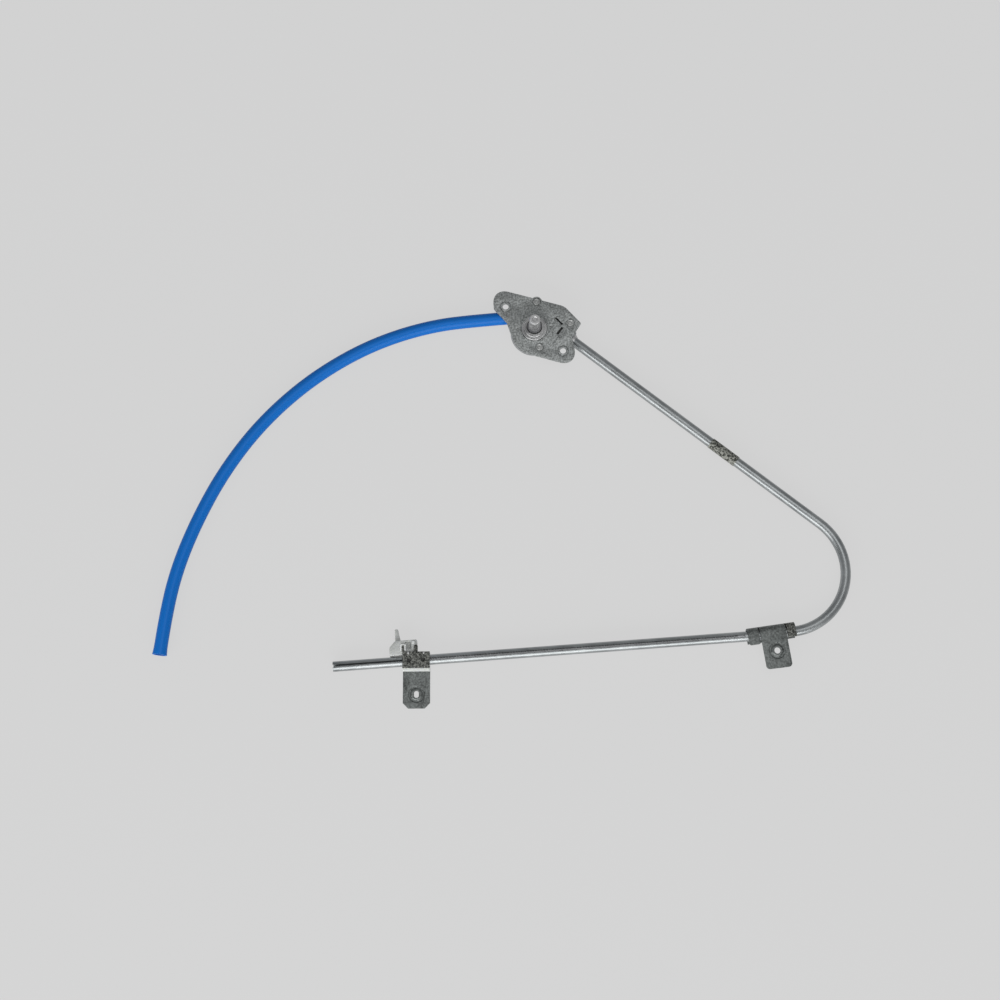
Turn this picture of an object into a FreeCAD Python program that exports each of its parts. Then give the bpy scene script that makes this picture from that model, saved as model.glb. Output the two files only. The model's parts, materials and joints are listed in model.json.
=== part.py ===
"""Window regulator with a crank gearbox, a bent guide tube and a helical rack cable.

The crank spindle turns a pinion. The pinion drives a rack cable through the guide tube, and the
cable pulls the carrier that lifts the window glass. The spare end of the cable runs into the
plastic sheath. The origin is the crank axis at the front face of the mounting plate: +Z points
out along the spindle, +X runs along the slotted guide run, and all lengths are in millimetres.
"""
import FreeCAD, Part
import math
import os
import re

import Sketcher
from FreeCAD import Placement, Rotation, Vector

SIZES = {
    # Rack cable and pinion
    "RackPitch": 3.0,
    "PinionTeeth": 39,
    "CableOuter": 6.0,
    "CableCore": 3.6,
    "CoilWire": 1.2,
    "MeshClear": 0.2,
    "ToothTip": 0.4,
    "ToothRoot": 0.7,
    "CableDepth": 10.0,
    "PinionWidth": 6.0,
    "PinionRim": 2.0,
    "PinionWeb": 3.2,
    "HubRadius": 10.6,
    # Cable route
    "UpperRunAngle": 42.5,
    "SheathLean": 0.5,
    "GuideDrop": 363.9,
    "GuideReach": 245.0,
    "EaseStart": 191.0,
    "EaseRadius": 1060.0,
    "EaseAngle": 3.4,
    # Guide tube
    "TubeOuter": 11.0,
    "TubeWall": 1.5,
    "SlotWidth": 3.0,
    "SlotMargin": 3.0,
    "TubeInsert": 22.0,
    "SleeveStart": 235.0,
    "SleeveLong": 35.0,
    "SleeveWall": 0.5,
    # Mounting plate
    "PlateThick": 2.0,
    "HoleCircle": 83.1,
    "HoleAngle": 43.4,
    "MountHole": 6.9,
    "HoleCollar": 2.0,
    "CollarRise": 0.5,
    "PlateLeft": 43.7,
    "PlateTop": 52.8,
    "LobeLow": 26.5,
    "ShoulderX": 36.0,
    "ShoulderY": 24.4,
    "NoseX": 53.4,
    "NoseY": 2.6,
    "NotchX": 41.6,
    "NotchY": 13.2,
    "HeelX": 46.0,
    "HeelY": 49.3,
    "BellyX": 21.4,
    "BellyY": 24.7,
    "WaistX": 30.5,
    "WaistY": 9.5,
    "EarRadius": 6.3,
    "LobeRound": 13.5,
    "HeelRound": 14.0,
    "BellyRound": 24.0,
    "EdgeRound": 2.5,
    "SlotCentreX": 28.6,
    "UpperSlotY": 7.1,
    "UpperSlotLong": 11.3,
    "UpperSlotWide": 1.6,
    "UpperSlotTilt": -50.0,
    "LowerSlotY": -4.4,
    "LowerSlotLong": 10.2,
    "LowerSlotWide": 2.2,
    "LowerSlotTilt": 49.0,
    "DialHole": 1.0,
    "DialHoleReach": 18.4,
    "DialHoleRise": 0.9,
    # Plate rivets
    "RivetTopX": 5.1,
    "RivetTopY": 31.8,
    "RivetSideX": 41.2,
    "RivetSideY": 3.9,
    "RivetLowX": 4.2,
    "RivetLowY": 22.4,
    "RivetShank": 2.0,
    "RivetHead": 3.9,
    "RivetRise": 1.3,
    "RivetDome": 1.0,
    "RivetTailDepth": 1.6,
    # Rear housing
    "HousingDepth": 15.2,
    "HousingRadius": 26.5,
    "BackWall": 1.6,
    "CavityClear": 0.5,
    "BoreClear": 0.3,
    "SheathDuct": 27.0,
    "SheathDuctHalf": 8.2,
    "TubeDuct": 40.0,
    "TubeDuctHalf": 8.2,
    "BossHalf": 5.2,
    # Spindle, brake drum and spring
    "SplineRadius": 6.25,
    "SplineTeeth": 30,
    "SplineDepth": 0.5,
    "SplineShare": 0.7,
    "SplineStart": 9.0,
    "SpindleTip": 30.0,
    "TipChamfer": 1.2,
    "TipThread": 5.0,
    "TipThreadDeep": 14.0,
    "JournalRadius": 6.3,
    "RunClear": 0.05,
    "RearJournal": 4.5,
    "PinionSeat": 6.0,
    "ClawInner": 8.2,
    "ClawOuter": 10.0,
    "ClawFlange": 1.1,
    "ClawSpan": 156.0,
    "DrumRadius": 14.3,
    "DrumBore": 12.6,
    "DrumFlange": 20.4,
    "DrumFlangeThick": 1.3,
    "DrumSkirt": 6.4,
    "DrumFace": 0.2,
    "DrumStepOne": 1.7,
    "DrumStepTwo": 3.6,
    "DrumNeckTop": 5.6,
    "DrumStepRadius": 11.5,
    "DrumRound": 1.2,
    "DrumStepRound": 1.0,
    "NeckRadius": 8.8,
    "BushWall": 1.05,
    "DustRingThick": 1.4,
    "ClipThick": 1.0,
    "ClipRadius": 7.9,
    "ClipGroove": 0.5,
    "SpringWire": 1.3,
    "SpringGap": 0.15,
    "SpringTurns": 2.5,
    "SpringClear": 0.3,
    "TangInner": 8.4,
    "RearBushRadius": 7.0,
    "RearBushFlange": 10.0,
    "RearBushLip": 1.4,
    "WasherThick": 1.0,
    # Sockets
    "FerruleWall": 1.1,
    "FerruleInsert": 6.0,
    "FerruleFlange": 7.4,
    "FerruleOut": 3.5,
    "SocketBore": 3.6,
    "SocketRadius": 5.3,
    "SocketInsert": 13.0,
    "SocketFlange": 7.0,
    "FlangeThick": 1.4,
    "SpigotLong": 30.0,
    "SpigotTaper": 3.0,
    "SpigotTip": 4.3,
    # Sheath
    "SheathOuter": 14.4,
    "SheathWall": 1.6,
    "SheathGap": 0.3,
    "SheathStraight": 34.0,
    # Fixed bracket on the guide tube
    "BandStart": 11.0,
    "BandLean": 4.1,
    "BandLong": 52.0,
    "RollShift": 1.2,
    "BackEdge": 8.0,
    "SheetThick": 1.6,
    "SlitWidth": 1.2,
    "SlitDepth": 6.5,
    "JoinDepth": 1.0,
    "FirstSlit": 12.0,
    "SecondSlit": 41.2,
    "LapDrop": 10.9,
    "LapRound": 2.0,
    "TabDrop": 38.9,
    "TabSlope": 0.6,
    "TabRound": 4.0,
    "TabHoleAlong": 27.9,
    "TabHoleDrop": 20.4,
    "TabHole": 6.8,
    "DishOuter": 8.8,
    "DishInner": 6.0,
    "DishRise": 0.9,
    # Carrier
    "CarrierRest": 89.5,
    "CarrierSkew": 3.8,
    "CarrierWidth": 29.2,
    "CapAbove": 8.9,
    "CapBelow": 8.8,
    "CarrierThick": 1.6,
    "CarrierClear": 0.3,
    "LiftTabEnd": 50.6,
    "LiftChamfer": 5.8,
    "LiftSlotY": 35.5,
    "LiftSlotWide": 5.2,
    "LiftSlotLong": 7.4,
    "LiftSlotRound": 2.4,
    "LiftDishInner": 6.0,
    "LiftDishOuter": 9.3,
    "ProngOneX": 14.1,
    "ProngOneWide": 2.6,
    "ProngOneTop": 15.3,
    "ProngTwoX": 0.3,
    "ProngTwoWide": 4.3,
    "ProngTwoTop": 16.2,
    "ProngRound": 2.0,
    "CarrierRivet": 0.9,
    "SunkHead": 1.8,
    "SunkDepth": 0.8,
    "SideRivetX": 8.3,
    "SideRivetY": 7.5,
    "SideHead": 1.2,
    "SideHeadRise": 0.6,
    "RivetSpread": 15.4,
    # Sliding shoe
    "BlockBelow": 11.0,
    "WingLeft": 28.0,
    "WingShoulder": 14.8,
    "WingTop": 22.0,
    "WingRight": 2.0,
    "WingLow": 6.4,
    "ShoeDepth": 11.9,
    "ShoeClear": 0.1,
    "FinLeft": 21.3,
    "FinRight": 15.4,
    "FinTop": 35.0,
    "FinTipLeft": 21.1,
    "FinTipRight": 17.7,
    "FinThick": 5.0,
    "RimWall": 1.5,
    # Cable end fitting
    "FittingLong": 26.0,
    "FittingClear": 0.2,
    "TongueLong": 22.0,
    "TongueClear": 0.2,
    "TailReach": 62.0,
    "GearFeed": 12.0,
}

# Control points of the free sheath, from the gearbox end to its open end, chosen by eye.
SHEATH_POINTS = [
    (-113.0, 15.5),
    (-168.0, 3.0),
    (-218.5, -18.0),
    (-269.0, -49.0),
    (-317.0, -91.0),
    (-357.0, -141.0),
    (-388.0, -195.0),
    (-410.0, -245.5),
    (-423.0, -294.5),
    (-430.5, -337.5),
]

# Share of the shorter run beside a corner of the sheath's route that its arc takes.
ARC_SHARE = 0.45

# Formulas that several pieces share, in words of the sheet.
PITCH_RADIUS = "(RackPitch * PinionTeeth / (2 * pi))"
PINION_TIP = f"({PITCH_RADIUS} - CableCore / 2 - MeshClear)"
PINION_ROOT = f"({PITCH_RADIUS} - CableOuter / 2 - MeshClear)"
HOUSING_BACK = "(-PlateThick - HousingDepth)"
CAVITY_FLOOR = f"({HOUSING_BACK} + BackWall)"
PINION_LOW = "(-CableDepth - PinionWidth / 2)"
PINION_HIGH = "(-CableDepth + PinionWidth / 2)"
TUBE_TOP = "(-CableDepth + TubeOuter / 2)"
CAP_UNDER = f"({TUBE_TOP} + CarrierClear)"
WASHER_TOP = f"({CAVITY_FLOOR} + RearBushLip + WasherThick)"
CLIP_LOW = "(DrumNeckTop + DustRingThick + MeshClear)"
SPRING_LOW = "(-DrumSkirt + MeshClear)"
CARRIER_X = "(CarrierRest - GuideReach)"
CARRIER_PLACE = (CARRIER_X, "-GuideDrop", "0")
RIVET_PLACES = (("RivetTopX", "RivetTopY"), ("RivetSideX", "RivetSideY"), ("RivetLowX", "-RivetLowY"))

doc = FreeCAD.newDocument("window_regulator")
sheet = doc.addObject("Spreadsheet::Sheet", "Sizes")
for row, (alias, size) in enumerate(SIZES.items(), start=1):
    sheet.set(f"A{row}", alias)
    sheet.set(f"B{row}", str(size))
    sheet.setAlias(f"B{row}", alias)
doc.recompute()


def bound(text):
    """Give an expression in which each capitalised word is a cell of the sheet."""
    return re.sub(r"\b([A-Z]\w+)", r"Sizes.\1", str(text))


def number(text):
    """Work out an expression as a plain number."""
    result = sheet.evalExpression(bound(text))
    return float(getattr(result, "Value", result))


def tube_point(along, side="0"):
    """Point on the upper run, measured from where the cable leaves the pinion."""
    reach = f"({PITCH_RADIUS} + {side})"
    return (f"{reach} * sin(UpperRunAngle) + ({along}) * cos(UpperRunAngle)",
            f"{reach} * cos(UpperRunAngle) - ({along}) * sin(UpperRunAngle)")


def sheath_point(along, side="0"):
    """Point on the cable's line into the sheath, measured from the pinion."""
    reach = f"({PITCH_RADIUS} + {side})"
    return (f"-{reach} * sin(SheathLean) - ({along}) * cos(SheathLean)",
            f"{reach} * cos(SheathLean) - ({along}) * sin(SheathLean)")


def flat(point):
    """Numbers of a bound point, as a vector in the sketch plane."""
    return Vector(number(point[0]), number(point[1]), 0)


def circle(sketch, x, y, radius):
    """Add a circle whose centre and radius follow the sheet."""
    centre = Vector(number(x), number(y), 0)
    index = sketch.addGeometry(Part.Circle(centre, Vector(0, 0, 1), number(radius)), False)
    for kind, text, value in (("DistanceX", x, centre.x), ("DistanceY", y, centre.y)):
        rule = sketch.addConstraint(Sketcher.Constraint(kind, -1, 1, index, 3, value))
        sketch.setExpression(f"Constraints[{rule}]", bound(text))
    rule = sketch.addConstraint(Sketcher.Constraint("Radius", index, number(radius)))
    sketch.setExpression(f"Constraints[{rule}]", bound(radius))


def outline(sketch, corners):
    """Add a closed outline whose corners follow the sheet."""
    first = sketch.GeometryCount
    points = [flat(corner) for corner in corners]
    count = len(points)
    for i in range(count):
        sketch.addGeometry(Part.LineSegment(points[i], points[(i + 1) % count]), False)
    for i, (x, y) in enumerate(corners):
        following = first + (i + 1) % count
        sketch.addConstraint(Sketcher.Constraint("Coincident", first + i, 2, following, 1))
        for kind, text, value in (("DistanceX", x, points[i].x), ("DistanceY", y, points[i].y)):
            rule = sketch.addConstraint(Sketcher.Constraint(kind, -1, 1, first + i, 1, value))
            sketch.setExpression(f"Constraints[{rule}]", bound(text))


def rectangle(left, low, right, top):
    """Corners of an upright rectangle."""
    return [(left, low), (right, low), (right, top), (left, top)]


class Piece:
    """One sub-part: a body with its sketches and features."""

    def __init__(self, label, place=("0", "0", "0"), turn="0"):
        self.body = doc.addObject("PartDesign::Body", label)
        self.body.Label = label
        for axis, text in zip("xyz", place):
            self.body.setExpression(f".Placement.Base.{axis}", bound(text))
        self.body.Placement.Rotation.Axis = Vector(0, 0, 1)
        self.body.setExpression(".Placement.Rotation.Angle", bound(turn))

    def sketch(self, name, level="0", role="XY_Plane"):
        """Start a sketch on an origin plane, shifted along the plane's normal."""
        made = self.body.newObject("Sketcher::SketchObject", name)
        plane = next(item for item in self.body.Origin.OriginFeatures if item.Role == role)
        made.AttachmentSupport = [(plane, "")]
        made.MapMode = "FlatFace"
        made.setExpression(".AttachmentOffset.Base.z", bound(level))
        return made

    def feature(self, kind, name, **settings):
        """Add a feature; texts that name cells become expressions."""
        made = self.body.newObject("PartDesign::" + kind, name)
        for key, setting in settings.items():
            if isinstance(setting, str):
                made.setExpression(key, bound(setting))
            else:
                setattr(made, key, setting)
        return made

    def pad(self, name, level, thick, draw):
        """Pad a drawn profile upwards from a level."""
        profile = self.sketch(name + "Profile", level)
        draw(profile)
        return self.feature("Pad", name, Profile=profile, Length=thick)

    def cut(self, name, level, depth, draw):
        """Cut a drawn profile downwards from a level, and prove that it cut."""
        doc.recompute()
        before = self.body.Shape.Volume
        profile = self.sketch(name + "Profile", level)
        draw(profile)
        made = self.feature("Pocket", name, Profile=profile, Length=depth)
        doc.recompute()
        if not self.body.Shape.Volume < before:
            raise RuntimeError(f"{self.body.Label}: {name} cuts nothing")
        return made

    def turned(self, name, corners, span="360", role="XZ_Plane"):
        """Turn a profile of radius and height about the piece's upright axis."""
        profile = self.sketch(name + "Profile", "0", role)
        outline(profile, corners)
        return self.feature("Revolution", name, Profile=profile, Angle=span, Midplane=True,
                            ReferenceAxis=(profile, ["V_Axis"]))

    def pipe(self, name, edges, radii, kind="AdditivePipe"):
        """Sweep one or two circles along a flat path at the cable's depth."""
        path = self.sketch(name + "Path", "-CableDepth")
        for edge in edges:
            path.addGeometry(edge, False)
        doc.recompute()
        profile = self.body.newObject("Sketcher::SketchObject", name + "Profile")
        profile.AttachmentSupport = [(path, "Edge1")]
        profile.MapMode = "NormalToEdge"
        for radius in radii:
            circle(profile, "0", "0", radius)
        return self.feature(kind, name, Profile=profile, Spine=path)

    def round_edges(self, name, radius, chosen, kind="Fillet"):
        """Round or chamfer the edges that a test picks."""
        doc.recompute()
        shape = self.body.Tip.Shape
        names = [f"Edge{i}" for i, edge in enumerate(shape.Edges, start=1) if chosen(edge)]
        made = self.feature(kind, name, Base=(self.body.Tip, names))
        made.setExpression("Radius" if kind == "Fillet" else "Size", bound(radius))
        self.body.Tip = made
        return made

    def around(self, name, features, copies):
        """Repeat features evenly about the upright axis."""
        axis = (features[0].Profile[0], ["N_Axis"])
        made = self.feature("PolarPattern", name, Originals=features, Axis=axis, Angle=360.0)
        made.setExpression("Occurrences", bound(copies))
        self.body.Tip = made
        return made

    def lay_along(self, start, angle):
        """Lay the upright axis along a flat direction from a point at the cable's depth."""
        heading = math.radians(number(angle))
        turn = Rotation(Vector(0, 0, 1), Vector(math.cos(heading), math.sin(heading), 0))
        self.body.setExpression(".Placement.Rotation.Angle", None)
        self.body.Placement = Placement(self.body.Placement.Base, turn)
        for axis, text in zip("xyz", (*start, "-CableDepth")):
            self.body.setExpression(f".Placement.Base.{axis}", bound(text))


def upright_at(x, y, reach=0.1):
    """Test for an upright edge at a place."""
    place = Vector(number(x), number(y), 0)

    def chosen(edge):
        ends = [Vector(v.X, v.Y, 0) for v in edge.Vertexes]
        return len(ends) == 2 and all((end - place).Length < reach for end in ends)
    return chosen


def level_ring(radius, level):
    """Test for a full circular edge of a radius at a height."""
    def chosen(edge):
        curve = edge.Curve
        return (isinstance(curve, Part.Circle) and abs(curve.Radius - number(radius)) < 1e-3
                and abs(curve.Center.z - number(level)) < 1e-3)
    return chosen


def mount_holes():
    """Centres of the two mounting holes, at the ends of one diameter."""
    half = "HoleCircle / 2"
    return ((f"-{half} * cos(HoleAngle)", f"{half} * sin(HoleAngle)"),
            (f"{half} * cos(HoleAngle)", f"-{half} * sin(HoleAngle)"))


def circles(places, radius):
    """Drawing of equal circles at several places."""
    def draw(sketch):
        for x, y in places:
            circle(sketch, x, y, radius)
    return draw


def rings(places, inner, outer):
    """Drawing of equal rings at several places."""
    def draw(sketch):
        for x, y in places:
            circle(sketch, x, y, inner)
            circle(sketch, x, y, outer)
    return draw


def polygon(corners):
    """Drawing of one closed outline."""
    return lambda sketch: outline(sketch, corners)


def slanted(name):
    """Corners of a plate slot, turned about its centre."""
    long, wide, tilt = f"{name}Long", f"{name}Wide", f"{name}Tilt"
    return [(f"SlotCentreX + {u} * {long} * cos({tilt}) - {v} * {wide} * sin({tilt})",
             f"{name}Y + {u} * {long} * sin({tilt}) + {v} * {wide} * cos({tilt})")
            for u, v in ((-0.5, -0.5), (0.5, -0.5), (0.5, 0.5), (-0.5, 0.5))]


def make_mounting_plate():
    """Pressed steel plate with a lobe round each mounting hole and an ear for the top rivet."""
    plate = Piece("mounting_plate")
    corners = {
        ("-PlateLeft", "PlateTop"): "LobeRound",
        ("ShoulderX", "ShoulderY"): "HeelRound",
        ("NoseX", "NoseY"): "EdgeRound",
        ("NotchX", "-NotchY"): "EdgeRound",
        ("HeelX", "-HeelY"): "HeelRound",
        ("-BellyX", "-BellyY"): "BellyRound",
        ("-WaistX", "WaistY"): "EdgeRound",
        ("-PlateLeft", "LobeLow"): "EdgeRound * 2",
    }
    plate.pad("Sheet", "-PlateThick", "PlateThick", polygon(list(corners)))
    for index, ((x, y), radius) in enumerate(corners.items()):
        plate.round_edges(f"Corner{index}", radius, upright_at(x, y))
    plate.pad("Ear", "-PlateThick", "PlateThick", circles(RIVET_PLACES[:1], "EarRadius"))
    plate.pad("Collars", "0", "CollarRise",
              circles(mount_holes(), "MountHole / 2 + HoleCollar"))
    plate.pad("DrumLip", "0", "CollarRise", circles([("0", "0")], "DrumRadius + HoleCollar"))
    plate.cut("DrumHole", "CollarRise", "PlateThick + CollarRise",
              circles([("0", "0")], "DrumRadius + MeshClear"))
    plate.cut("MountHoles", "CollarRise", "PlateThick + CollarRise",
              circles(mount_holes(), "MountHole / 2"))
    plate.cut("RivetHoles", "0", "PlateThick", circles(RIVET_PLACES, "RivetShank"))
    dial_holes = [(f"{side}DialHoleReach", "DialHoleRise") for side in ("-", "")]
    plate.cut("DialHoles", "0", "PlateThick", circles(dial_holes, "DialHole"))
    for slot in ("UpperSlot", "LowerSlot"):
        plate.cut(slot, "0", "PlateThick", polygon(slanted(slot)))
    return plate.body


def make_plate_rivets():
    """Three rivets with domed heads that hold the plate and the housing together."""
    rivets = Piece("plate_rivets")
    rivets.pad("Shanks", f"{HOUSING_BACK} + RivetTailDepth / 2", "HousingDepth + PlateThick",
               circles(RIVET_PLACES, "RivetShank"))
    rivets.pad("Tails", f"{HOUSING_BACK} + RivetTailDepth / 2", "RivetTailDepth / 2",
               circles(RIVET_PLACES, "RivetHead"))
    rivets.pad("Heads", "0", "RivetRise", circles(RIVET_PLACES, "RivetHead"))
    rivets.round_edges("Domes", "RivetDome", level_ring("RivetHead", "RivetRise"))
    return rivets.body


def cable_edges(feed, insert):
    """Cable path through the gearbox: in from the sheath, over the pinion, out to the tube."""
    radius = number(PITCH_RADIUS)
    high = math.radians(90 + number("SheathLean"))
    low = math.radians(90 - number("UpperRunAngle"))
    arc = Part.ArcOfCircle(Part.Circle(Vector(0, 0, 0), Vector(0, 0, 1), radius), low, high)
    return [Part.LineSegment(flat(sheath_point(feed)), flat(sheath_point("0"))), arc,
            Part.LineSegment(flat(tube_point("0")), flat(tube_point(insert)))]


def skewed(corner):
    """Turn a corner on the carrier with its lift plate."""
    x, y = corner
    return (f"({x}) * cos(CarrierSkew) + ({y}) * sin(CarrierSkew)",
            f"({y}) * cos(CarrierSkew) - ({x}) * sin(CarrierSkew)")


def duct(point, start, end, half):
    """Corners of a straight duct wall beside a cable line."""
    return [point(start, f"-{half}"), point(end, f"-{half}"), point(end, half), point(start, half)]


def make_rear_housing():
    """Die-cast housing: pinion chamber, cable bore, two ducts and three rivet bosses."""
    housing = Piece("rear_housing")
    housing.pad("Drum", HOUSING_BACK, "HousingDepth", circles([("0", "0")], "HousingRadius"))
    ducts = (("SheathDuctWall", sheath_point, "SheathDuct", "SheathDuctHalf"),
             ("TubeDuctWall", tube_point, "TubeDuct", "TubeDuctHalf"))
    for name, point, end, half in ducts:
        housing.pad(name, HOUSING_BACK, "HousingDepth", polygon(duct(point, "0", end, half)))
    for index, (x, y) in enumerate(RIVET_PLACES):
        reach = math.hypot(number(x), number(y))
        across = (f"BossHalf * {number(y) / reach}", f"BossHalf * {number(x) / reach}")
        rib = [(f"-{across[0]}", across[1]), (across[0], f"-{across[1]}"),
               (f"{x} + {across[0]}", f"{y} - {across[1]}"),
               (f"{x} - {across[0]}", f"{y} + {across[1]}")]
        housing.pad(f"Rib{index}", HOUSING_BACK, "HousingDepth", polygon(rib))
        housing.pad(f"Boss{index}", HOUSING_BACK, "HousingDepth", circles([(x, y)], "BossHalf"))
    housing.cut("Chamber", "-PlateThick", f"-PlateThick - {CAVITY_FLOOR}",
                circles([("0", "0")], f"{PINION_TIP} + CavityClear"))
    housing.cut("DrumSeat", "-PlateThick", "DrumFlangeThick",
                circles([("0", "0")], "DrumFlange + MeshClear"))
    housing.cut("BushHole", CAVITY_FLOOR, "BackWall", circles([("0", "0")], "RearBushRadius"))
    housing.cut("RivetHoles", "-PlateThick", "HousingDepth", circles(RIVET_PLACES, "RivetShank"))
    housing.cut("TailSeats", f"{HOUSING_BACK} + RivetTailDepth", "RivetTailDepth",
                circles(RIVET_PLACES, "RivetHead + MeshClear"))
    housing.pipe("CableBore", cable_edges("SheathDuct - SocketInsert", "TubeInsert"),
                 ["CableOuter / 2 + BoreClear"], "SubtractivePipe")
    bores = (("SocketBore", sheath_point, "SheathDuct - SocketInsert", "SheathDuct", "SocketRadius"),
             ("TubeBore", tube_point, "TubeInsert", "TubeDuct", "TubeOuter / 2"),
             ("FerruleBore", tube_point, "TubeDuct - FerruleInsert", "TubeDuct",
              "TubeOuter / 2 + FerruleWall"))
    for name, point, start, end, radius in bores:
        line = Part.LineSegment(flat(point(start)), flat(point(end)))
        housing.pipe(name, [line], [radius], "SubtractivePipe")
    return housing.body


def make_brake_drum():
    """Stepped drum: its skirt is the friction wall for the spring, its neck holds the bush."""
    drum = Piece("brake_drum")
    bore = "JournalRadius + RunClear + BushWall"
    drum.turned("Cup", [
        ("DrumFlange", "-PlateThick - DrumFlangeThick"),
        ("DrumFlange", "-PlateThick"),
        ("DrumRadius", "-PlateThick"),
        ("DrumRadius", "DrumStepOne"),
        ("DrumStepRadius", "DrumStepOne"),
        ("DrumStepRadius", "DrumStepTwo"),
        ("NeckRadius", "DrumStepTwo"),
        ("NeckRadius", "DrumNeckTop"),
        (bore, "DrumNeckTop"),
        (bore, "DrumFace"),
        ("DrumBore", "DrumFace"),
        ("DrumBore", "-DrumSkirt"),
        ("DrumRadius", "-DrumSkirt"),
        ("DrumRadius", "-PlateThick - DrumFlangeThick"),
    ])
    drum.round_edges("OuterShoulder", "DrumRound", level_ring("DrumRadius", "DrumStepOne"))
    drum.round_edges("InnerShoulder", "DrumStepRound", level_ring("DrumStepRadius", "DrumStepTwo"))
    return drum.body


def make_turned(label, corners):
    """A plain turned piece about the crank axis."""
    piece = Piece(label)
    piece.turned("Turned", corners)
    return piece.body


def make_small_gearbox_parts():
    """Bushes, washer, dust ring and spring clip about the crank axis."""
    bush_in = "JournalRadius + RunClear"
    bush_out = "JournalRadius + RunClear + BushWall"
    rear_in = "RearJournal + RunClear"
    lip = f"{CAVITY_FLOOR} + RearBushLip"
    ring_in = "JournalRadius + MeshClear"
    clip_in = "JournalRadius - ClipGroove"
    clip_top = f"{CLIP_LOW} + ClipThick"
    return [
        make_turned("spindle_bush", rectangle(bush_in, "DrumFace", bush_out, "DrumNeckTop")),
        make_turned("dust_ring", rectangle(ring_in, "DrumNeckTop", "NeckRadius",
                                           "DrumNeckTop + DustRingThick")),
        make_turned("retaining_clip", rectangle(clip_in, CLIP_LOW, "ClipRadius", clip_top)),
        make_turned("rear_bush", [
            (rear_in, f"{HOUSING_BACK} + MeshClear"),
            ("RearBushRadius", f"{HOUSING_BACK} + MeshClear"),
            ("RearBushRadius", CAVITY_FLOOR),
            ("RearBushFlange", CAVITY_FLOOR),
            ("RearBushFlange", lip),
            (rear_in, lip),
        ]),
        make_turned("thrust_washer", rectangle(rear_in, lip, "RearBushFlange", WASHER_TOP)),
    ]


def make_spindle():
    """Crank spindle: rear journal, pinion seat, brake claw, front journal and splined end."""
    spindle = Piece("spindle")
    seat_low = f"{WASHER_TOP} + MeshClear"
    clip_top = f"{CLIP_LOW} + ClipThick"
    groove = "JournalRadius - ClipGroove"
    spindle.turned("Shaft", [
        ("0", f"{HOUSING_BACK} + MeshClear"),
        ("RearJournal", f"{HOUSING_BACK} + MeshClear"),
        ("RearJournal", seat_low),
        ("PinionSeat", seat_low),
        ("PinionSeat", "-ClawFlange"),
        ("ClawOuter", "-ClawFlange"),
        ("ClawOuter", "0"),
        ("JournalRadius", "0"),
        ("JournalRadius", CLIP_LOW),
        (groove, CLIP_LOW),
        (groove, clip_top),
        ("SplineRadius", clip_top),
        ("SplineRadius", "SpindleTip - TipChamfer"),
        ("SplineRadius - TipChamfer", "SpindleTip"),
        ("0", "SpindleTip"),
    ])
    claw_low = f"{PINION_HIGH} + MeshClear"
    spindle.turned("Claw", rectangle("ClawInner", claw_low, "ClawOuter", "-ClawFlange"),
                   "ClawSpan", "YZ_Plane")
    half = "(SplineRadius * pi / SplineTeeth * SplineShare)"
    valley = [("SplineRadius - SplineDepth", "0"), ("SplineRadius + SplineDepth", half),
              ("SplineRadius + SplineDepth", f"-{half}")]
    groove_cut = spindle.cut("Valley", "SpindleTip", "SpindleTip - SplineStart", polygon(valley))
    spindle.around("Splines", [groove_cut], "SplineTeeth")
    spindle.cut("TipHole", "SpindleTip", "TipThreadDeep", circles([("0", "0")], "TipThread / 2"))
    return spindle.body


def make_drive_pinion():
    """Pinion whose teeth reach between the coils of the rack cable, with the brake's claw."""
    pinion = Piece("drive_pinion")
    bore = "PinionSeat + RunClear"
    rim = f"({PINION_ROOT} - PinionRim)"
    web_low = "-CableDepth - PinionWeb / 2"
    web_high = "-CableDepth + PinionWeb / 2"
    pinion.turned("Blank", [
        (bore, PINION_LOW), ("HubRadius", PINION_LOW), ("HubRadius", web_low), (rim, web_low),
        (rim, PINION_LOW), (PINION_ROOT, PINION_LOW), (PINION_ROOT, PINION_HIGH),
        (rim, PINION_HIGH), (rim, web_high), ("HubRadius", web_high),
        ("HubRadius", PINION_HIGH), (bore, PINION_HIGH),
    ])
    low = f"{PINION_ROOT} - MeshClear"
    tooth = [(low, "-ToothRoot / 2"), (PINION_TIP, "-ToothTip / 2"),
             (PINION_TIP, "ToothTip / 2"), (low, "ToothRoot / 2")]
    first = pinion.pad("Tooth", PINION_LOW, "PinionWidth", polygon(tooth))
    doc.recompute()
    pinion.around("Teeth", [first], "PinionTeeth")
    claw = rectangle("-ClawOuter", PINION_HIGH, "-ClawInner", "-ClawFlange - MeshClear")
    pinion.turned("Claw", claw, "ClawSpan", "YZ_Plane")
    return pinion.body


def make_wrap_spring():
    """Square-wire brake spring; its two inward tangs lie between the claws."""
    spring = Piece("wrap_spring")
    outer = "DrumBore - SpringClear"
    inner = f"{outer} - SpringWire"
    rise = "(SpringWire + SpringGap) * SpringTurns"
    profile = spring.sketch("WireProfile", "0", "XZ_Plane")
    outline(profile, rectangle(inner, SPRING_LOW, outer, f"{SPRING_LOW} + SpringWire"))
    spring.feature("AdditiveHelix", "Coils", Profile=profile, ReferenceAxis=(profile, ["V_Axis"]),
                   Mode=0, Pitch="SpringWire + SpringGap",
                   Height=rise)
    spring.pad("FirstTang", SPRING_LOW, "SpringWire",
               polygon(rectangle("TangInner", "-SpringWire", outer, "MeshClear")))
    spring.pad("LastTang", f"{SPRING_LOW} + {rise}", "SpringWire",
               polygon(rectangle(f"-({outer})", "-SpringWire", "-TangInner", "MeshClear")))
    return spring.body


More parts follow.
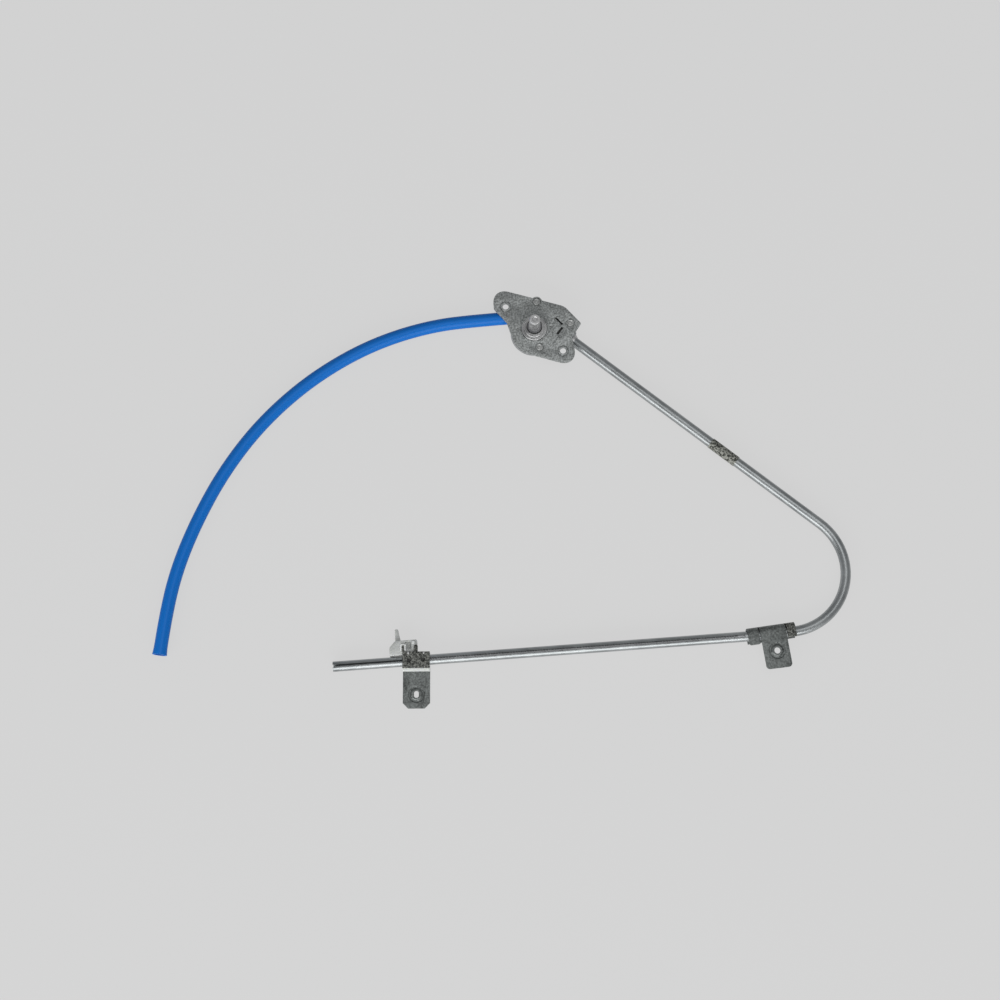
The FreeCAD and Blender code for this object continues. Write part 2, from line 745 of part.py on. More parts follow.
def make_tube_ferrule():
    """Flanged ferrule that holds the guide tube in the housing's duct."""
    ferrule = Piece("tube_ferrule")
    bore = "TubeOuter / 2"
    wall = "TubeOuter / 2 + FerruleWall"
    ferrule.turned("Turned", [
        (bore, "-FerruleInsert"), (wall, "-FerruleInsert"), (wall, "0"), ("FerruleFlange", "0"),
        ("FerruleFlange", "FlangeThick"), (wall, "FlangeThick"),
        (f"{bore} + FerruleWall / 2", "FerruleOut"), (bore, "FerruleOut"),
    ])
    ferrule.lay_along(tube_point("TubeDuct"), "-UpperRunAngle")
    return ferrule.body


def make_sheath_socket():
    """Moulded spigot that the sheath is pushed over, with its end in the housing's duct."""
    socket = Piece("sheath_socket")
    socket.turned("Turned", [
        ("SocketBore", "-SocketInsert"), ("SocketRadius", "-SocketInsert"), ("SocketRadius", "0"),
        ("SocketFlange", "0"), ("SocketFlange", "FlangeThick"), ("SocketRadius", "FlangeThick"),
        ("SocketRadius", "SpigotLong - SpigotTaper"), ("SpigotTip", "SpigotLong"),
        ("SocketBore", "SpigotLong"),
    ])
    socket.lay_along(sheath_point("SheathDuct"), "180 + SheathLean")
    return socket.body


class GuideRoute:
    """Centre line of the guide tube: slotted run, slight ease, tight bend and upper run."""

    def __init__(self):
        drop = -number("GuideDrop")
        ease = number("EaseRadius")
        self.ease_start = number("EaseStart")
        self.ease_centre = Vector(self.ease_start, drop + ease, 0)
        self.lift = math.radians(number("EaseAngle"))
        fall = math.radians(number("UpperRunAngle"))
        self.outward = Vector(math.sin(fall), math.cos(fall), 0)
        inward = Vector(-math.sin(self.lift), math.cos(self.lift), 0)
        self.bend_start = self.ease_centre - inward * ease
        spare = number(PITCH_RADIUS) - self.outward.dot(self.bend_start)
        self.bend_radius = spare / (1 + self.outward.dot(inward))
        self.bend_centre = self.bend_start + inward * self.bend_radius
        self.bend_end = self.bend_centre + self.outward * self.bend_radius
        self.free_end = Vector(-number("GuideReach"), drop, 0)

    def ease_arc(self):
        """The slight ease between the slotted run and the tight bend."""
        circle_line = Part.Circle(self.ease_centre, Vector(0, 0, 1), number("EaseRadius"))
        return Part.ArcOfCircle(circle_line, -math.pi / 2, self.lift - math.pi / 2)

    def bend_arc(self):
        """The tight bend."""
        circle_line = Part.Circle(self.bend_centre, Vector(0, 0, 1), self.bend_radius)
        finish = math.atan2(self.outward.y, self.outward.x)
        return Part.ArcOfCircle(circle_line, self.lift - math.pi / 2, finish)

    def low_run(self, start):
        """The straight slotted run from a place along X to the ease."""
        return Part.LineSegment(start, Vector(self.ease_start, self.free_end.y, 0))

    def upper_run(self):
        """The straight run from the bend to the gearbox."""
        return Part.LineSegment(self.bend_end, flat(tube_point("TubeInsert")))


def make_guide_tube(route):
    """Steel tube, slotted along its front from the open end to the ease before the bend."""
    tube = Piece("guide_tube")
    edges = [route.low_run(route.free_end), route.ease_arc(), route.bend_arc(), route.upper_run()]
    tube.pipe("Wall", edges, ["TubeOuter / 2", "TubeOuter / 2 - TubeWall"])
    side = "SlotWidth / 2"
    slot = rectangle("-GuideReach - SlotMargin", f"-GuideDrop - {side}",
                     "EaseStart + BandStart - SlotMargin", f"-GuideDrop + {side}")
    tube.cut("Slot", f"{TUBE_TOP} + SlotMargin", "TubeOuter / 2 + SlotMargin", polygon(slot))
    return tube.body


def make_anti_rattle_sleeve():
    """Soft sleeve round the upper run that keeps the tube off the door panel."""
    sleeve = Piece("anti_rattle_sleeve")
    sleeve.turned("Turned", rectangle("TubeOuter / 2", "0", "TubeOuter / 2 + SleeveWall",
                                      "SleeveLong"))
    sleeve.lay_along(tube_point("SleeveStart"), "-UpperRunAngle")
    return sleeve.body


def make_tube_bracket():
    """Fixed bracket: a sheet rolled over the tube's far side, slit into a lap, a tab and a cuff."""
    bracket = Piece("tube_bracket", ("EaseStart + BandStart", "-GuideDrop", "0"), "BandLean")
    inner = "(TubeOuter / 2 + RunClear)"
    outer = f"({inner} + SheetThick)"
    slab = bracket.sketch("FoldProfile", "0", "YZ_Plane")
    outline(slab, rectangle("-BackEdge", f"-CableDepth - {outer}", "RollShift",
                            f"-CableDepth + {outer}"))
    bracket.feature("Pad", "Fold", Profile=slab, Length="BandLong")
    roll = bracket.sketch("RollProfile", "0", "YZ_Plane")
    circle(roll, "RollShift", "-CableDepth", outer)
    bracket.feature("Pad", "Roll", Profile=roll, Length="BandLong")
    beyond = bracket.sketch("InsideProfile", "BandLong + JoinDepth", "YZ_Plane")
    outline(beyond, rectangle("-BackEdge - JoinDepth", f"-CableDepth - {inner}", "RollShift",
                              f"-CableDepth + {inner}"))
    bracket.feature("Pocket", "Inside", Profile=beyond, Length="BandLong + JoinDepth * 2")
    bore = bracket.sketch("BoreProfile", "BandLong + JoinDepth", "YZ_Plane")
    circle(bore, "RollShift", "-CableDepth", inner)
    bracket.feature("Pocket", "Bore", Profile=bore, Length="BandLong + JoinDepth * 2")
    sheet_low = f"(-CableDepth + {inner})"
    front = f"(-CableDepth + {outer})"
    lap = [("0", "-LapDrop"), ("FirstSlit", "-LapDrop")]
    bracket.pad("Lap", sheet_low, "SheetThick", polygon(lap + [("FirstSlit", "0"), ("0", "0")]))
    left = "FirstSlit + SlitWidth"
    tab = [(left, "-TabDrop"), ("SecondSlit", "-TabDrop - TabSlope")]
    bracket.pad("Tab", sheet_low, "SheetThick", polygon(tab + [("SecondSlit", "0"), (left, "0")]))
    for corners, name, radius in ((lap, "LapCorner", "LapRound"), (tab, "TabCorner", "TabRound")):
        for index, (x, y) in enumerate(corners):
            bracket.round_edges(f"{name}{index}", radius, upright_at(x, y))
    hole = [("TabHoleAlong", "-TabHoleDrop")]
    bracket.pad("Dish", front, "DishRise", rings(hole, "DishInner", "DishOuter"))
    bracket.cut("TabHole", front, "SheetThick", circles(hole, "TabHole / 2"))
    for index, place in enumerate(("FirstSlit", "SecondSlit")):
        slit = rectangle(place, "-LapDrop - JoinDepth", f"{place} + SlitWidth",
                         f"RollShift + {outer} + JoinDepth")
        bracket.cut(f"Slit{index}", f"{front} + JoinDepth", "SlitDepth + JoinDepth", polygon(slit))
    return bracket.body


def make_cables(route):
    """The rack cable: spare tail, stretch in mesh, bent stretch and straight guide stretch."""
    tail = Piece("cable_tail")
    line = Part.LineSegment(flat(sheath_point("GearFeed")), flat(sheath_point("TailReach")))
    tail.pipe("Cable", [line], ["CableOuter / 2"])
    upper = Piece("cable_upper")
    start = flat(tube_point("TubeInsert"))
    run = Part.LineSegment(start, route.bend_end)
    upper.pipe("Cable", [run, route.bend_arc(), route.ease_arc()], ["CableOuter / 2"])
    guide = Piece("cable_guide")
    low = Vector(number(f"{CARRIER_X} + FittingLong / 2"), route.free_end.y, 0)
    guide.pipe("Cable", [route.low_run(low)], ["CableOuter / 2"])
    return [tail.body, upper.body, guide.body]


def make_cable_gear():
    """Cable in mesh: a core with coils one rack pitch apart, so that the teeth fit between."""
    core = Piece("cable_core")
    core.pipe("Core", cable_edges("GearFeed", "TubeInsert"), ["CableCore / 2"])
    doc.recompute()
    radius = number(PITCH_RADIUS)
    pitch = number("RackPitch")
    wire = number("CoilWire")
    swing = radius * math.radians(number("UpperRunAngle"))
    lead = radius * math.radians(number("SheathLean"))
    reach = number("TubeInsert")
    feed = number("GearFeed")
    shapes = [core.body]
    count = int((swing + reach) / pitch)
    back = int((lead + feed) / pitch)
    phase = (number("PinionTeeth") / 4 + 0.5) % 1
    for step in range(-back, count):
        along = (step + phase) * pitch
        coil = doc.addObject("Part::Cylinder", "Coil")
        coil.setExpression("Radius", bound("CableOuter / 2"))
        coil.setExpression("Height", bound("CoilWire"))
        turn = min(max(along, -lead), swing) / radius
        beyond = along - turn * radius
        heading = Vector(math.cos(turn), -math.sin(turn), 0)
        middle = Vector(math.sin(turn), math.cos(turn), 0) * radius + heading * beyond
        base = middle - heading * (wire / 2) + Vector(0, 0, -number("CableDepth"))
        coil.Placement = Placement(base, Rotation(Vector(0, 0, 1), heading))
        shapes.append(coil)
    gear = doc.addObject("Part::MultiFuse", "cable_gear")
    gear.Shapes = shapes
    gear.Label = "cable_gear"
    return gear


def tongue_rivets():
    """Places of the two rivets in the tongue, on the carrier's line of travel."""
    return [("-RivetSpread / 2", "0"), ("RivetSpread / 2", "0")]


def side_rivets():
    """Places of the two rivets that pass beside the tube through cap, shoe and lift plate."""
    return [skewed(("-SideRivetX", "SideRivetY")), skewed(("SideRivetX", "SideRivetY"))]


def make_cable_fitting():
    """Swaged slug on the cable's end, with a tongue that stands up through the tube's slot."""
    fitting = Piece("cable_fitting", CARRIER_PLACE)
    radius = "TubeOuter / 2 - TubeWall - FittingClear"
    half = "FittingLong / 2"
    profile = fitting.sketch("SlugProfile", f"-{half}", "YZ_Plane")
    circle(profile, "0", "-CableDepth", radius)
    fitting.feature("Pad", "Slug", Profile=profile, Length="FittingLong")
    side = "(SlotWidth / 2 - TongueClear)"
    fitting.pad("Tongue", "-CableDepth", f"CableDepth + {CAP_UNDER}",
                polygon(rectangle("-TongueLong / 2", f"-{side}", "TongueLong / 2", side)))
    fitting.cut("RivetHoles", CAP_UNDER, f"CableDepth + {CAP_UNDER}",
                circles(tongue_rivets(), "CarrierRivet"))
    return fitting.body


def make_carrier_rivets():
    """Two rivets with sunk heads in the tongue, and two through the whole carrier beside it."""
    rivets = Piece("carrier_rivets", CARRIER_PLACE)
    rivets.pad("Shanks", "-CableDepth", f"CableDepth + {CAP_UNDER}",
               circles(tongue_rivets(), "CarrierRivet"))
    rivets.pad("SunkHeads", CAP_UNDER, "SunkDepth", circles(tongue_rivets(), "SunkHead"))
    low = f"({CAP_UNDER} - ShoeDepth - CarrierThick)"
    rivets.pad("LongShanks", low, "ShoeDepth + CarrierThick * 2",
               circles(side_rivets(), "CarrierRivet"))
    rivets.pad("Heads", f"{CAP_UNDER} + CarrierThick", "SideHeadRise",
               circles(side_rivets(), "SideHead"))
    return rivets.body


def make_carrier_cap():
    """Steel cap over the shoe, riveted to the tongue, with two prongs that grip the wing."""
    cap = Piece("carrier_cap", CARRIER_PLACE)
    half = "CarrierWidth / 2"
    top = f"{CAP_UNDER} + CarrierThick"
    cap.pad("Sheet", CAP_UNDER, "CarrierThick", polygon([
        skewed(corner) for corner in rectangle(f"-{half}", "-CapBelow", half, "CapAbove")]))
    for name in ("ProngOne", "ProngTwo"):
        prong = rectangle(f"-{name}X - {name}Wide / 2", "CapAbove - JoinDepth",
                          f"-{name}X + {name}Wide / 2", f"{name}Top")
        cap.pad(name, CAP_UNDER, "CarrierThick", polygon([skewed(corner) for corner in prong]))
    for x in ("-ProngTwoX - ProngTwoWide / 2", "-ProngTwoX + ProngTwoWide / 2"):
        cap.round_edges("ProngCorner", "ProngRound", upright_at(*skewed((x, "ProngTwoTop"))))
    cap.cut("SunkHoles", top, "CarrierThick", circles(tongue_rivets(), "SunkHead"))
    cap.cut("RivetHoles", top, "CarrierThick", circles(side_rivets(), "CarrierRivet"))
    return cap.body


def make_carrier_plate():
    """Lift plate under the shoe: a slotted tab with cut corners for the glass channel."""
    plate = Piece("carrier_plate", CARRIER_PLACE)
    half = "CarrierWidth / 2"
    top = f"({CAP_UNDER} - ShoeDepth)"
    plate.pad("Sheet", f"{top} - CarrierThick", "CarrierThick", polygon([skewed(corner) for corner in (
        (f"-{half}", "CapAbove"), (f"-{half}", "-LiftTabEnd + LiftChamfer"),
        (f"-{half} + LiftChamfer", "-LiftTabEnd"), (f"{half} - LiftChamfer", "-LiftTabEnd"),
        (half, "-LiftTabEnd + LiftChamfer"), (half, "CapAbove"))]))
    plate.pad("Dish", top, "DishRise",
              rings([skewed(("0", "-LiftSlotY"))], "LiftDishInner", "LiftDishOuter"))
    slot = rectangle("-LiftSlotWide / 2", "-LiftSlotY - LiftSlotLong / 2",
                     "LiftSlotWide / 2", "-LiftSlotY + LiftSlotLong / 2")
    plate.cut("LiftSlot", top, "CarrierThick", polygon([skewed(corner) for corner in slot]))
    for corner in slot:
        plate.round_edges("SlotEnd", "LiftSlotRound", upright_at(*skewed(corner)))
    plate.cut("RivetHoles", top, "CarrierThick", circles(side_rivets(), "CarrierRivet"))
    return plate.body


def make_slide_shoe():
    """Moulded shoe that slides along the tube, with a wing, a spring fin and a rim for a prong."""
    shoe = Piece("slide_shoe", CARRIER_PLACE)
    half = "CarrierWidth / 2"
    low = f"({CAP_UNDER} - ShoeDepth)"
    shoe.pad("Block", low, "ShoeDepth", polygon([
        skewed(corner) for corner in rectangle(f"-{half}", "-BlockBelow", half, "CapAbove")]))
    shoe.pad("Wing", low, "ShoeDepth", polygon([
        ("-WingLeft", "WingLow"), ("WingRight", "WingLow"), ("WingRight", "WingTop"),
        ("-FinLeft", "WingTop"), ("-WingLeft", "WingShoulder")]))
    shoe.pad("Fin", "-CableDepth - FinThick / 2", "FinThick", polygon([
        ("-FinLeft", "WingTop - JoinDepth"), ("-FinRight", "WingTop - JoinDepth"),
        ("-FinTipRight", "FinTop"), ("-FinTipLeft", "FinTop")]))
    inner = ("-ProngOneX - ProngOneWide / 2 - MeshClear", "CapAbove + JoinDepth",
             "-ProngOneX + ProngOneWide / 2 + MeshClear", "ProngOneTop + MeshClear")
    outer = (f"{inner[0]} - RimWall", inner[1], f"{inner[2]} + RimWall", f"{inner[3]} + RimWall")
    rim = [(outer[0], outer[1]), (inner[0], inner[1]), (inner[0], inner[3]), (inner[2], inner[3]),
           (inner[2], inner[1]), (outer[2], outer[1]), (outer[2], outer[3]), (outer[0], outer[3])]
    shoe.pad("Rim", CAP_UNDER, "RimWall", polygon([skewed(corner) for corner in rim]))
    side = "(TubeOuter / 2 - ShoeClear - TubeWall)"
    shoe.cut("TopGap", CAP_UNDER, "TubeOuter / 2",
             polygon(rectangle("-WingLeft", f"-{side}", "CarrierWidth", side)))
    bore = shoe.sketch("BoreProfile", "CarrierWidth", "YZ_Plane")
    circle(bore, "0", "-CableDepth", "TubeOuter / 2 + ShoeClear")
    shoe.feature("Pocket", "TubeBore", Profile=bore, Length="CarrierWidth * 2")
    shoe.cut("RivetHoles", CAP_UNDER, "ShoeDepth", circles(side_rivets(), "CarrierRivet"))
    return shoe.body


def make_sheath_hose():
    """Plain sheath along its free route: straight runs joined by arcs as large as fit."""
    depth = -number("CableDepth")
    start = number("SheathDuct + FlangeThick + SheathGap")
    ends = [flat(sheath_point(start)), flat(sheath_point(start + number("SheathStraight")))]
    points = [Vector(p.x, p.y, depth) for p in ends] + [Vector(x, y, depth) for x, y in SHEATH_POINTS]
    edges = []
    here = points[0]
    radii = []
    for before, corner, after in zip(points, points[1:], points[2:]):
        back = (before - corner).normalize()
        ahead = (after - corner).normalize()
        half_turn = (math.pi - back.getAngle(ahead)) / 2
        trim = ARC_SHARE * min((before - corner).Length, (after - corner).Length)
        radii.append(trim / math.tan(half_turn))
        enter, leave = corner + back * trim, corner + ahead * trim
        inward = (back + ahead).normalize()
        middle = corner + inward * radii[-1] * (1 / math.cos(half_turn) - 1)
        edges += [Part.makeLine(here, enter), Part.Arc(enter, middle, leave).toShape()]
        here = leave
    edges.append(Part.makeLine(here, points[-1]))
    path = Part.Wire(edges)
    normal = (points[1] - points[0]).normalize()
    outer = number("SheathOuter / 2")
    shells = []
    for radius in (outer, outer - number("SheathWall")):
        ring = Part.Wire(Part.makeCircle(radius, points[0], normal))
        shells.append(path.makePipeShell([ring], True, False))
    hose = doc.addObject("Part::Feature", "sheath_hose")
    hose.Label = "sheath_hose"
    hose.Shape = shells[0].cut(shells[1])
    section = math.pi * (outer ** 2 - (outer - number("SheathWall")) ** 2)
    print("sheath radii", [round(radius) for radius in radii], "length", round(path.Length, 1),
          "volume ratio", round(hose.Shape.Volume / (section * path.Length), 5))
    return hose


def main():
    """Build every sub-part, check it and write its file."""
    route = GuideRoute()
    parts = [
        make_mounting_plate(), make_plate_rivets(), make_rear_housing(), make_brake_drum(),
        *make_small_gearbox_parts(), make_spindle(), make_drive_pinion(), make_wrap_spring(),
        make_tube_ferrule(), make_sheath_socket(), make_guide_tube(route),
        make_anti_rattle_sleeve(), make_tube_bracket(), *make_cables(route),
        make_cable_gear(), make_cable_fitting(), make_carrier_rivets(), make_carrier_cap(),
        make_carrier_plate(), make_slide_shoe(), make_sheath_hose(),
    ]
    doc.recompute()
    failed = [item.Label for item in doc.Objects if {"Invalid", "Error"} & set(item.State)]
    failed += [part.Label for part in parts if part.Shape.isNull() or not part.Shape.isValid()]
    if failed:
        raise RuntimeError(f"failed objects: {failed}")
    os.makedirs("parts", exist_ok=True)
    for part in parts:
        part.Shape.exportStep(f"parts/{part.Label}.step")
        print(part.Label, len(part.Shape.Solids), round(part.Shape.Volume, 1))
    print("bend radius", round(route.bend_radius, 2))


main()
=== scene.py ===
"""Looks of a window regulator: its pieces, finishes, light and camera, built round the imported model.

Everything is in metres in the model's own frame. The origin is the crank axis at the front face of
the mounting plate, +Z points out along the spindle and +X along the slotted run of the guide tube.
"""

import json
import logging
import math
from contextlib import contextmanager
from dataclasses import dataclass, field
from enum import Enum
from typing import Iterable, Iterator, Sequence

import bmesh
import bpy
from mathutils import Matrix, Vector

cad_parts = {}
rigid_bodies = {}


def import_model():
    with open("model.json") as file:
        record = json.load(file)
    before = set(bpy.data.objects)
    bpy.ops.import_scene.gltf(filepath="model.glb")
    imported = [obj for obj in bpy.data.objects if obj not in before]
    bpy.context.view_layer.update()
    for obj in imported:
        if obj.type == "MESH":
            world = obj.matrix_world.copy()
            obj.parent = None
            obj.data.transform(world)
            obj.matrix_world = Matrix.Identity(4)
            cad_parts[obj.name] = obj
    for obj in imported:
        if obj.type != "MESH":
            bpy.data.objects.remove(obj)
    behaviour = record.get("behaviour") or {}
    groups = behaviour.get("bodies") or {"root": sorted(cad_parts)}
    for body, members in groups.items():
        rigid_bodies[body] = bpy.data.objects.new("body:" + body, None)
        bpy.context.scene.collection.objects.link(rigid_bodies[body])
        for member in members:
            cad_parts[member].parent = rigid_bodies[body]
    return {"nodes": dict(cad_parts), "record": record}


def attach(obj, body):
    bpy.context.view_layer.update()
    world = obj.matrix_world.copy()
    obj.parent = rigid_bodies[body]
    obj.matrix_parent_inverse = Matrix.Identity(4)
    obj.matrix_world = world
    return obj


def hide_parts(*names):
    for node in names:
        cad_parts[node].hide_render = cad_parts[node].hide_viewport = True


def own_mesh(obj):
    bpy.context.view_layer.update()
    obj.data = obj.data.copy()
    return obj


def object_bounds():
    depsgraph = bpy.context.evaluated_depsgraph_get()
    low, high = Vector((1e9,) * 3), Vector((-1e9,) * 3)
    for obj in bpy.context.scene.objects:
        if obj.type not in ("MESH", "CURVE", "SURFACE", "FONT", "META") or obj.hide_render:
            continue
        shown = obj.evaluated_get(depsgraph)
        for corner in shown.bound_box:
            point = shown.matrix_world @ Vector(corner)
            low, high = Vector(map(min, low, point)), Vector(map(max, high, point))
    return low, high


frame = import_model()
CAD_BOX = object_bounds()

LOG = logging.getLogger("window_regulator")
MM = 0.001
FULL_TURN = 2.0 * math.pi
Colour = tuple[float, float, float]
Point = tuple[float, float, float]
Place = tuple[float, float]
Socket = bpy.types.NodeSocket
# A corner of an outline in millimetres: x, y and, where it is rounded, its radius.
Corner = tuple[float, ...]

# Axes of the rivets that hold the housing to the plate, in millimetres.
RIVETS: tuple[Place, ...] = ((5.1, 31.8), (41.2, 3.9), (4.2, -22.4))
# Level of the cable and tube axes in millimetres.
AXIS = -10.0
# Turns a profile drawn as across and up into one that is drawn along X.
CROSSWAYS = Matrix(((0, 0, 1, 0), (1, 0, 0, 0), (0, 1, 0, 0), (0, 0, 0, 1)))


class Body(Enum):
    """The bodies that pieces ride on."""

    ROOT = "root"
    CRANK = "crank"
    CARRIER = "carrier"


class Slot(Enum):
    """The record's material slots."""

    ZINC = "zinc_plate"
    TUBE = "tube_steel"
    DARK = "dark_steel"
    BRIGHT = "bright_steel"
    CAST = "die_cast"
    SPRING = "spring_steel"
    CABLE = "cable_steel"
    BRONZE = "bush_bronze"
    NYLON = "nylon"
    RUBBER = "black_rubber"
    SLEEVE = "mottled_sleeve"
    BLUE = "blue_sheath"


class Look(Enum):
    """Finishes of single pieces whose surface differs from the rest of their slot; two of them are
    darker copies that paint shade.
    """

    SPECKLED = "speckled_phosphate"
    # Near-black finish for the sunk rivet heads and the housing's pocket: painted shade in recesses.
    OILED = "oiled_head"
    # Greyer copy of the nylon for the shoe's wing and fin: painted shade.
    CLOUDY = "cloudy_nylon"
    WORN = "worn_plating"


# Shader building


class ShaderTree:
    """One material's node tree, with short methods for the nodes that the finishes use."""

    def __init__(self, name: str) -> None:
        """Start an empty node tree with its output.

        Args:
            name: Name of the new material.
        """
        self.material = bpy.data.materials.new(name)
        self.material.use_nodes = True
        self.tree = self.material.node_tree
        self.tree.nodes.clear()
        self.output = self.tree.nodes.new("ShaderNodeOutputMaterial")

    def node(self, kind: str, **settings: object) -> bpy.types.Node:
        """Add a node.

        Args:
            kind: Type name after ShaderNode.
            **settings: Properties of the node.

        Returns:
            The new node.
        """
        made = self.tree.nodes.new("ShaderNode" + kind)
        for key, value in settings.items():
            setattr(made, key, value)
        return made

    def feed(self, node: bpy.types.Node, name: str, value: object) -> None:
        """Set an input of a node to a constant, or link it to a socket.

        Args:
            node: Node whose input is set.
            name: Name of the input.
            value: Constant or output socket.
        """
        if isinstance(value, Socket):
            self.tree.links.new(value, node.inputs[name])
        elif isinstance(value, tuple) and len(value) == 3 and node.inputs[name].type == "RGBA":
            node.inputs[name].default_value = (*value, 1.0)
        else:
            node.inputs[name].default_value = value

    def fed(self, kind: str, output: str, **inputs: object) -> Socket:
        """Add a node with its inputs set.

        Args:
            kind: Type name after ShaderNode.
            output: Name of the output that is wanted.
            **inputs: Input names, with underscores for spaces, and their values.

        Returns:
            The output socket.
        """
        made = self.node(kind)
        for key, value in inputs.items():
            self.feed(made, key.replace("_", " "), value)
        return made.outputs[output]

    def place(self, scale: Point = (1.0, 1.0, 1.0), source: str = "Object") -> Socket:
        """Give coordinates for a pattern.

        Args:
            scale: Stretch along each axis.
            source: Output of the texture coordinate node.

        Returns:
            The vector socket.
        """
        mapping = self.node("Mapping", vector_type="TEXTURE")
        self.feed(mapping, "Vector", self.node("TexCoord").outputs[source])
        self.feed(mapping, "Scale", tuple(1.0 / part for part in scale))
        return mapping.outputs["Vector"]

    def noise(self, vector: Socket, scale: float, detail: float, roughness: float) -> Socket:
        """Add a noise pattern of so many cells a metre."""
        return self.fed("TexNoise", "Fac", Vector=vector, Scale=scale, Detail=detail,
                        Roughness=roughness)

    def ramp(self, factor: Socket, stops: Sequence[tuple[float, Colour]]) -> Socket:
        """Colour a value.

        Args:
            factor: Value from 0 to 1.
            stops: Places and colours.

        Returns:
            The colour socket.
        """
        made = self.node("ValToRGB")
        elements = made.color_ramp.elements
        while len(elements) < len(stops):
            elements.new(0.5)
        for element, (place, colour) in zip(elements, stops):
            element.position = place
            element.color = (*colour, 1.0)
        self.feed(made, "Fac", factor)
        return made.outputs["Color"]

    def span(self, factor: Socket, low: float, high: float, start: float = 0.0,
             end: float = 1.0) -> Socket:
        """Map the values from start to end onto low to high."""
        return self.fed("MapRange", "Result", Value=factor, From_Min=start, From_Max=end,
                        To_Min=low, To_Max=high)

    def blend(self, share: float, first: Socket, second: Socket) -> Socket:
        """Mix two colours.

        Args:
            share: Share of the second.
            first: One colour.
            second: The other colour.

        Returns:
            The colour socket.
        """
        made = self.node("Mix", data_type="RGBA")
        made.inputs[0].default_value = share
        self.tree.links.new(first, made.inputs[6])
        self.tree.links.new(second, made.inputs[7])
        return made.outputs[2]

    def maths(self, kind: str, first: Socket, second: Socket | float) -> Socket:
        """Add a sum on values.

        Args:
            kind: Operation.
            first: Value.
            second: Value or constant.

        Returns:
            The value socket.
        """
        made = self.node("Math", operation=kind)
        self.tree.links.new(first, made.inputs[0])
        if isinstance(second, Socket):
            self.tree.links.new(second, made.inputs[1])
        else:
            made.inputs[1].default_value = second
        return made.outputs[0]

    def weigh(self, first: Socket, second: Socket, part: float) -> Socket:
        """Add up this part of the first value and the rest of the second."""
        return self.maths("ADD", self.maths("MULTIPLY", first, part),
                          self.maths("MULTIPLY", second, 1.0 - part))

    def bump(self, height: Socket, depth: float, strength: float = 1.0) -> Socket:
        """Add a bump of this depth in metres."""
        return self.fed("Bump", "Normal", Height=height, Distance=depth, Strength=strength)

    def surface(self, **inputs: object) -> bpy.types.Material:
        """Finish the material with a principled shader that has these inputs."""
        self.tree.links.new(self.fed("BsdfPrincipled", "BSDF", **inputs), self.output.inputs[0])
        return self.material


@dataclass(frozen=True)
class MottledMetal:
    """Plated or phosphated sheet: cloudy tone, fine specks and a soft uneven sheen."""

    name: str
    light: Colour
    dark: Colour
    speck: Colour
    cloud_scale: float = 110.0
    grain_scale: float = 520.0
    grain_share: float = 0.55
    metallic: float = 0.85
    smooth: float = 0.36
    rough: float = 0.56
    depth: float = 0.00008

    def material(self) -> bpy.types.Material:
        """Build the finish.

        Returns:
            The new material.
        """
        tree = ShaderTree(self.name)
        place = tree.place()
        cloud = tree.noise(place, self.cloud_scale, 5.0, 0.6)
        grain = tree.noise(place, self.grain_scale, 3.0, 0.7)
        tone = tree.ramp(cloud, [(0.4, self.dark), (0.6, self.light)])
        speckled = tree.ramp(grain, [(0.41, self.speck), (0.5, self.dark), (0.59, self.light)])
        colour = tree.blend(self.grain_share, tone, speckled)
        sheen = tree.span(tree.weigh(cloud, grain, 0.6), self.smooth, self.rough, 0.3, 0.7)
        return tree.surface(Base_Color=colour, Metallic=self.metallic, Roughness=sheen,
                            Normal=tree.bump(grain, self.depth))


@dataclass(frozen=True)
class TurnedMetal:
    """Bright turned steel with fine rings about an upright axis."""

    name: str
    colour: Colour
    shade: Colour
    smooth: float = 0.3
    rough: float = 0.42
    ring_scale: float = 2600.0

    def material(self) -> bpy.types.Material:
        """Build the finish.

        Returns:
            The new material.
        """
        tree = ShaderTree(self.name)
        rings = tree.node("TexWave", wave_type="RINGS", rings_direction="Z")
        tree.feed(rings, "Vector", tree.place())
        tree.feed(rings, "Scale", self.ring_scale / FULL_TURN)
        stain = tree.noise(tree.place(), 120.0, 3.0, 0.5)
        colour = tree.ramp(stain, [(0.35, self.shade), (0.6, self.colour)])
        return tree.surface(Base_Color=colour, Metallic=0.85,
                            Roughness=tree.span(stain, self.smooth, self.rough, 0.35, 0.65),
                            Normal=tree.bump(rings.outputs["Fac"], 0.000003, 0.3))


@dataclass(frozen=True)
class DrawnMetal:
    """Drawn steel tube or cable: faint streaks, dull patches and fine pitting."""

    name: str
    colour: Colour
    shade: Colour
    metallic: float = 0.9
    smooth: float = 0.3
    rough: float = 0.5

    def material(self) -> bpy.types.Material:
        """Build the finish.

        Returns:
            The new material.
        """
        tree = ShaderTree(self.name)
        patch = tree.noise(tree.place(), 35.0, 6.0, 0.65)
        grain = tree.noise(tree.place(), 1400.0, 2.0, 0.6)
        both = tree.weigh(patch, grain, 0.7)
        colour = tree.ramp(both, [(0.36, self.shade), (0.62, self.colour)])
        return tree.surface(Base_Color=colour, Metallic=self.metallic,
                            Roughness=tree.span(both, self.smooth, self.rough, 0.35, 0.65),
                            Normal=tree.bump(grain, 0.00003))


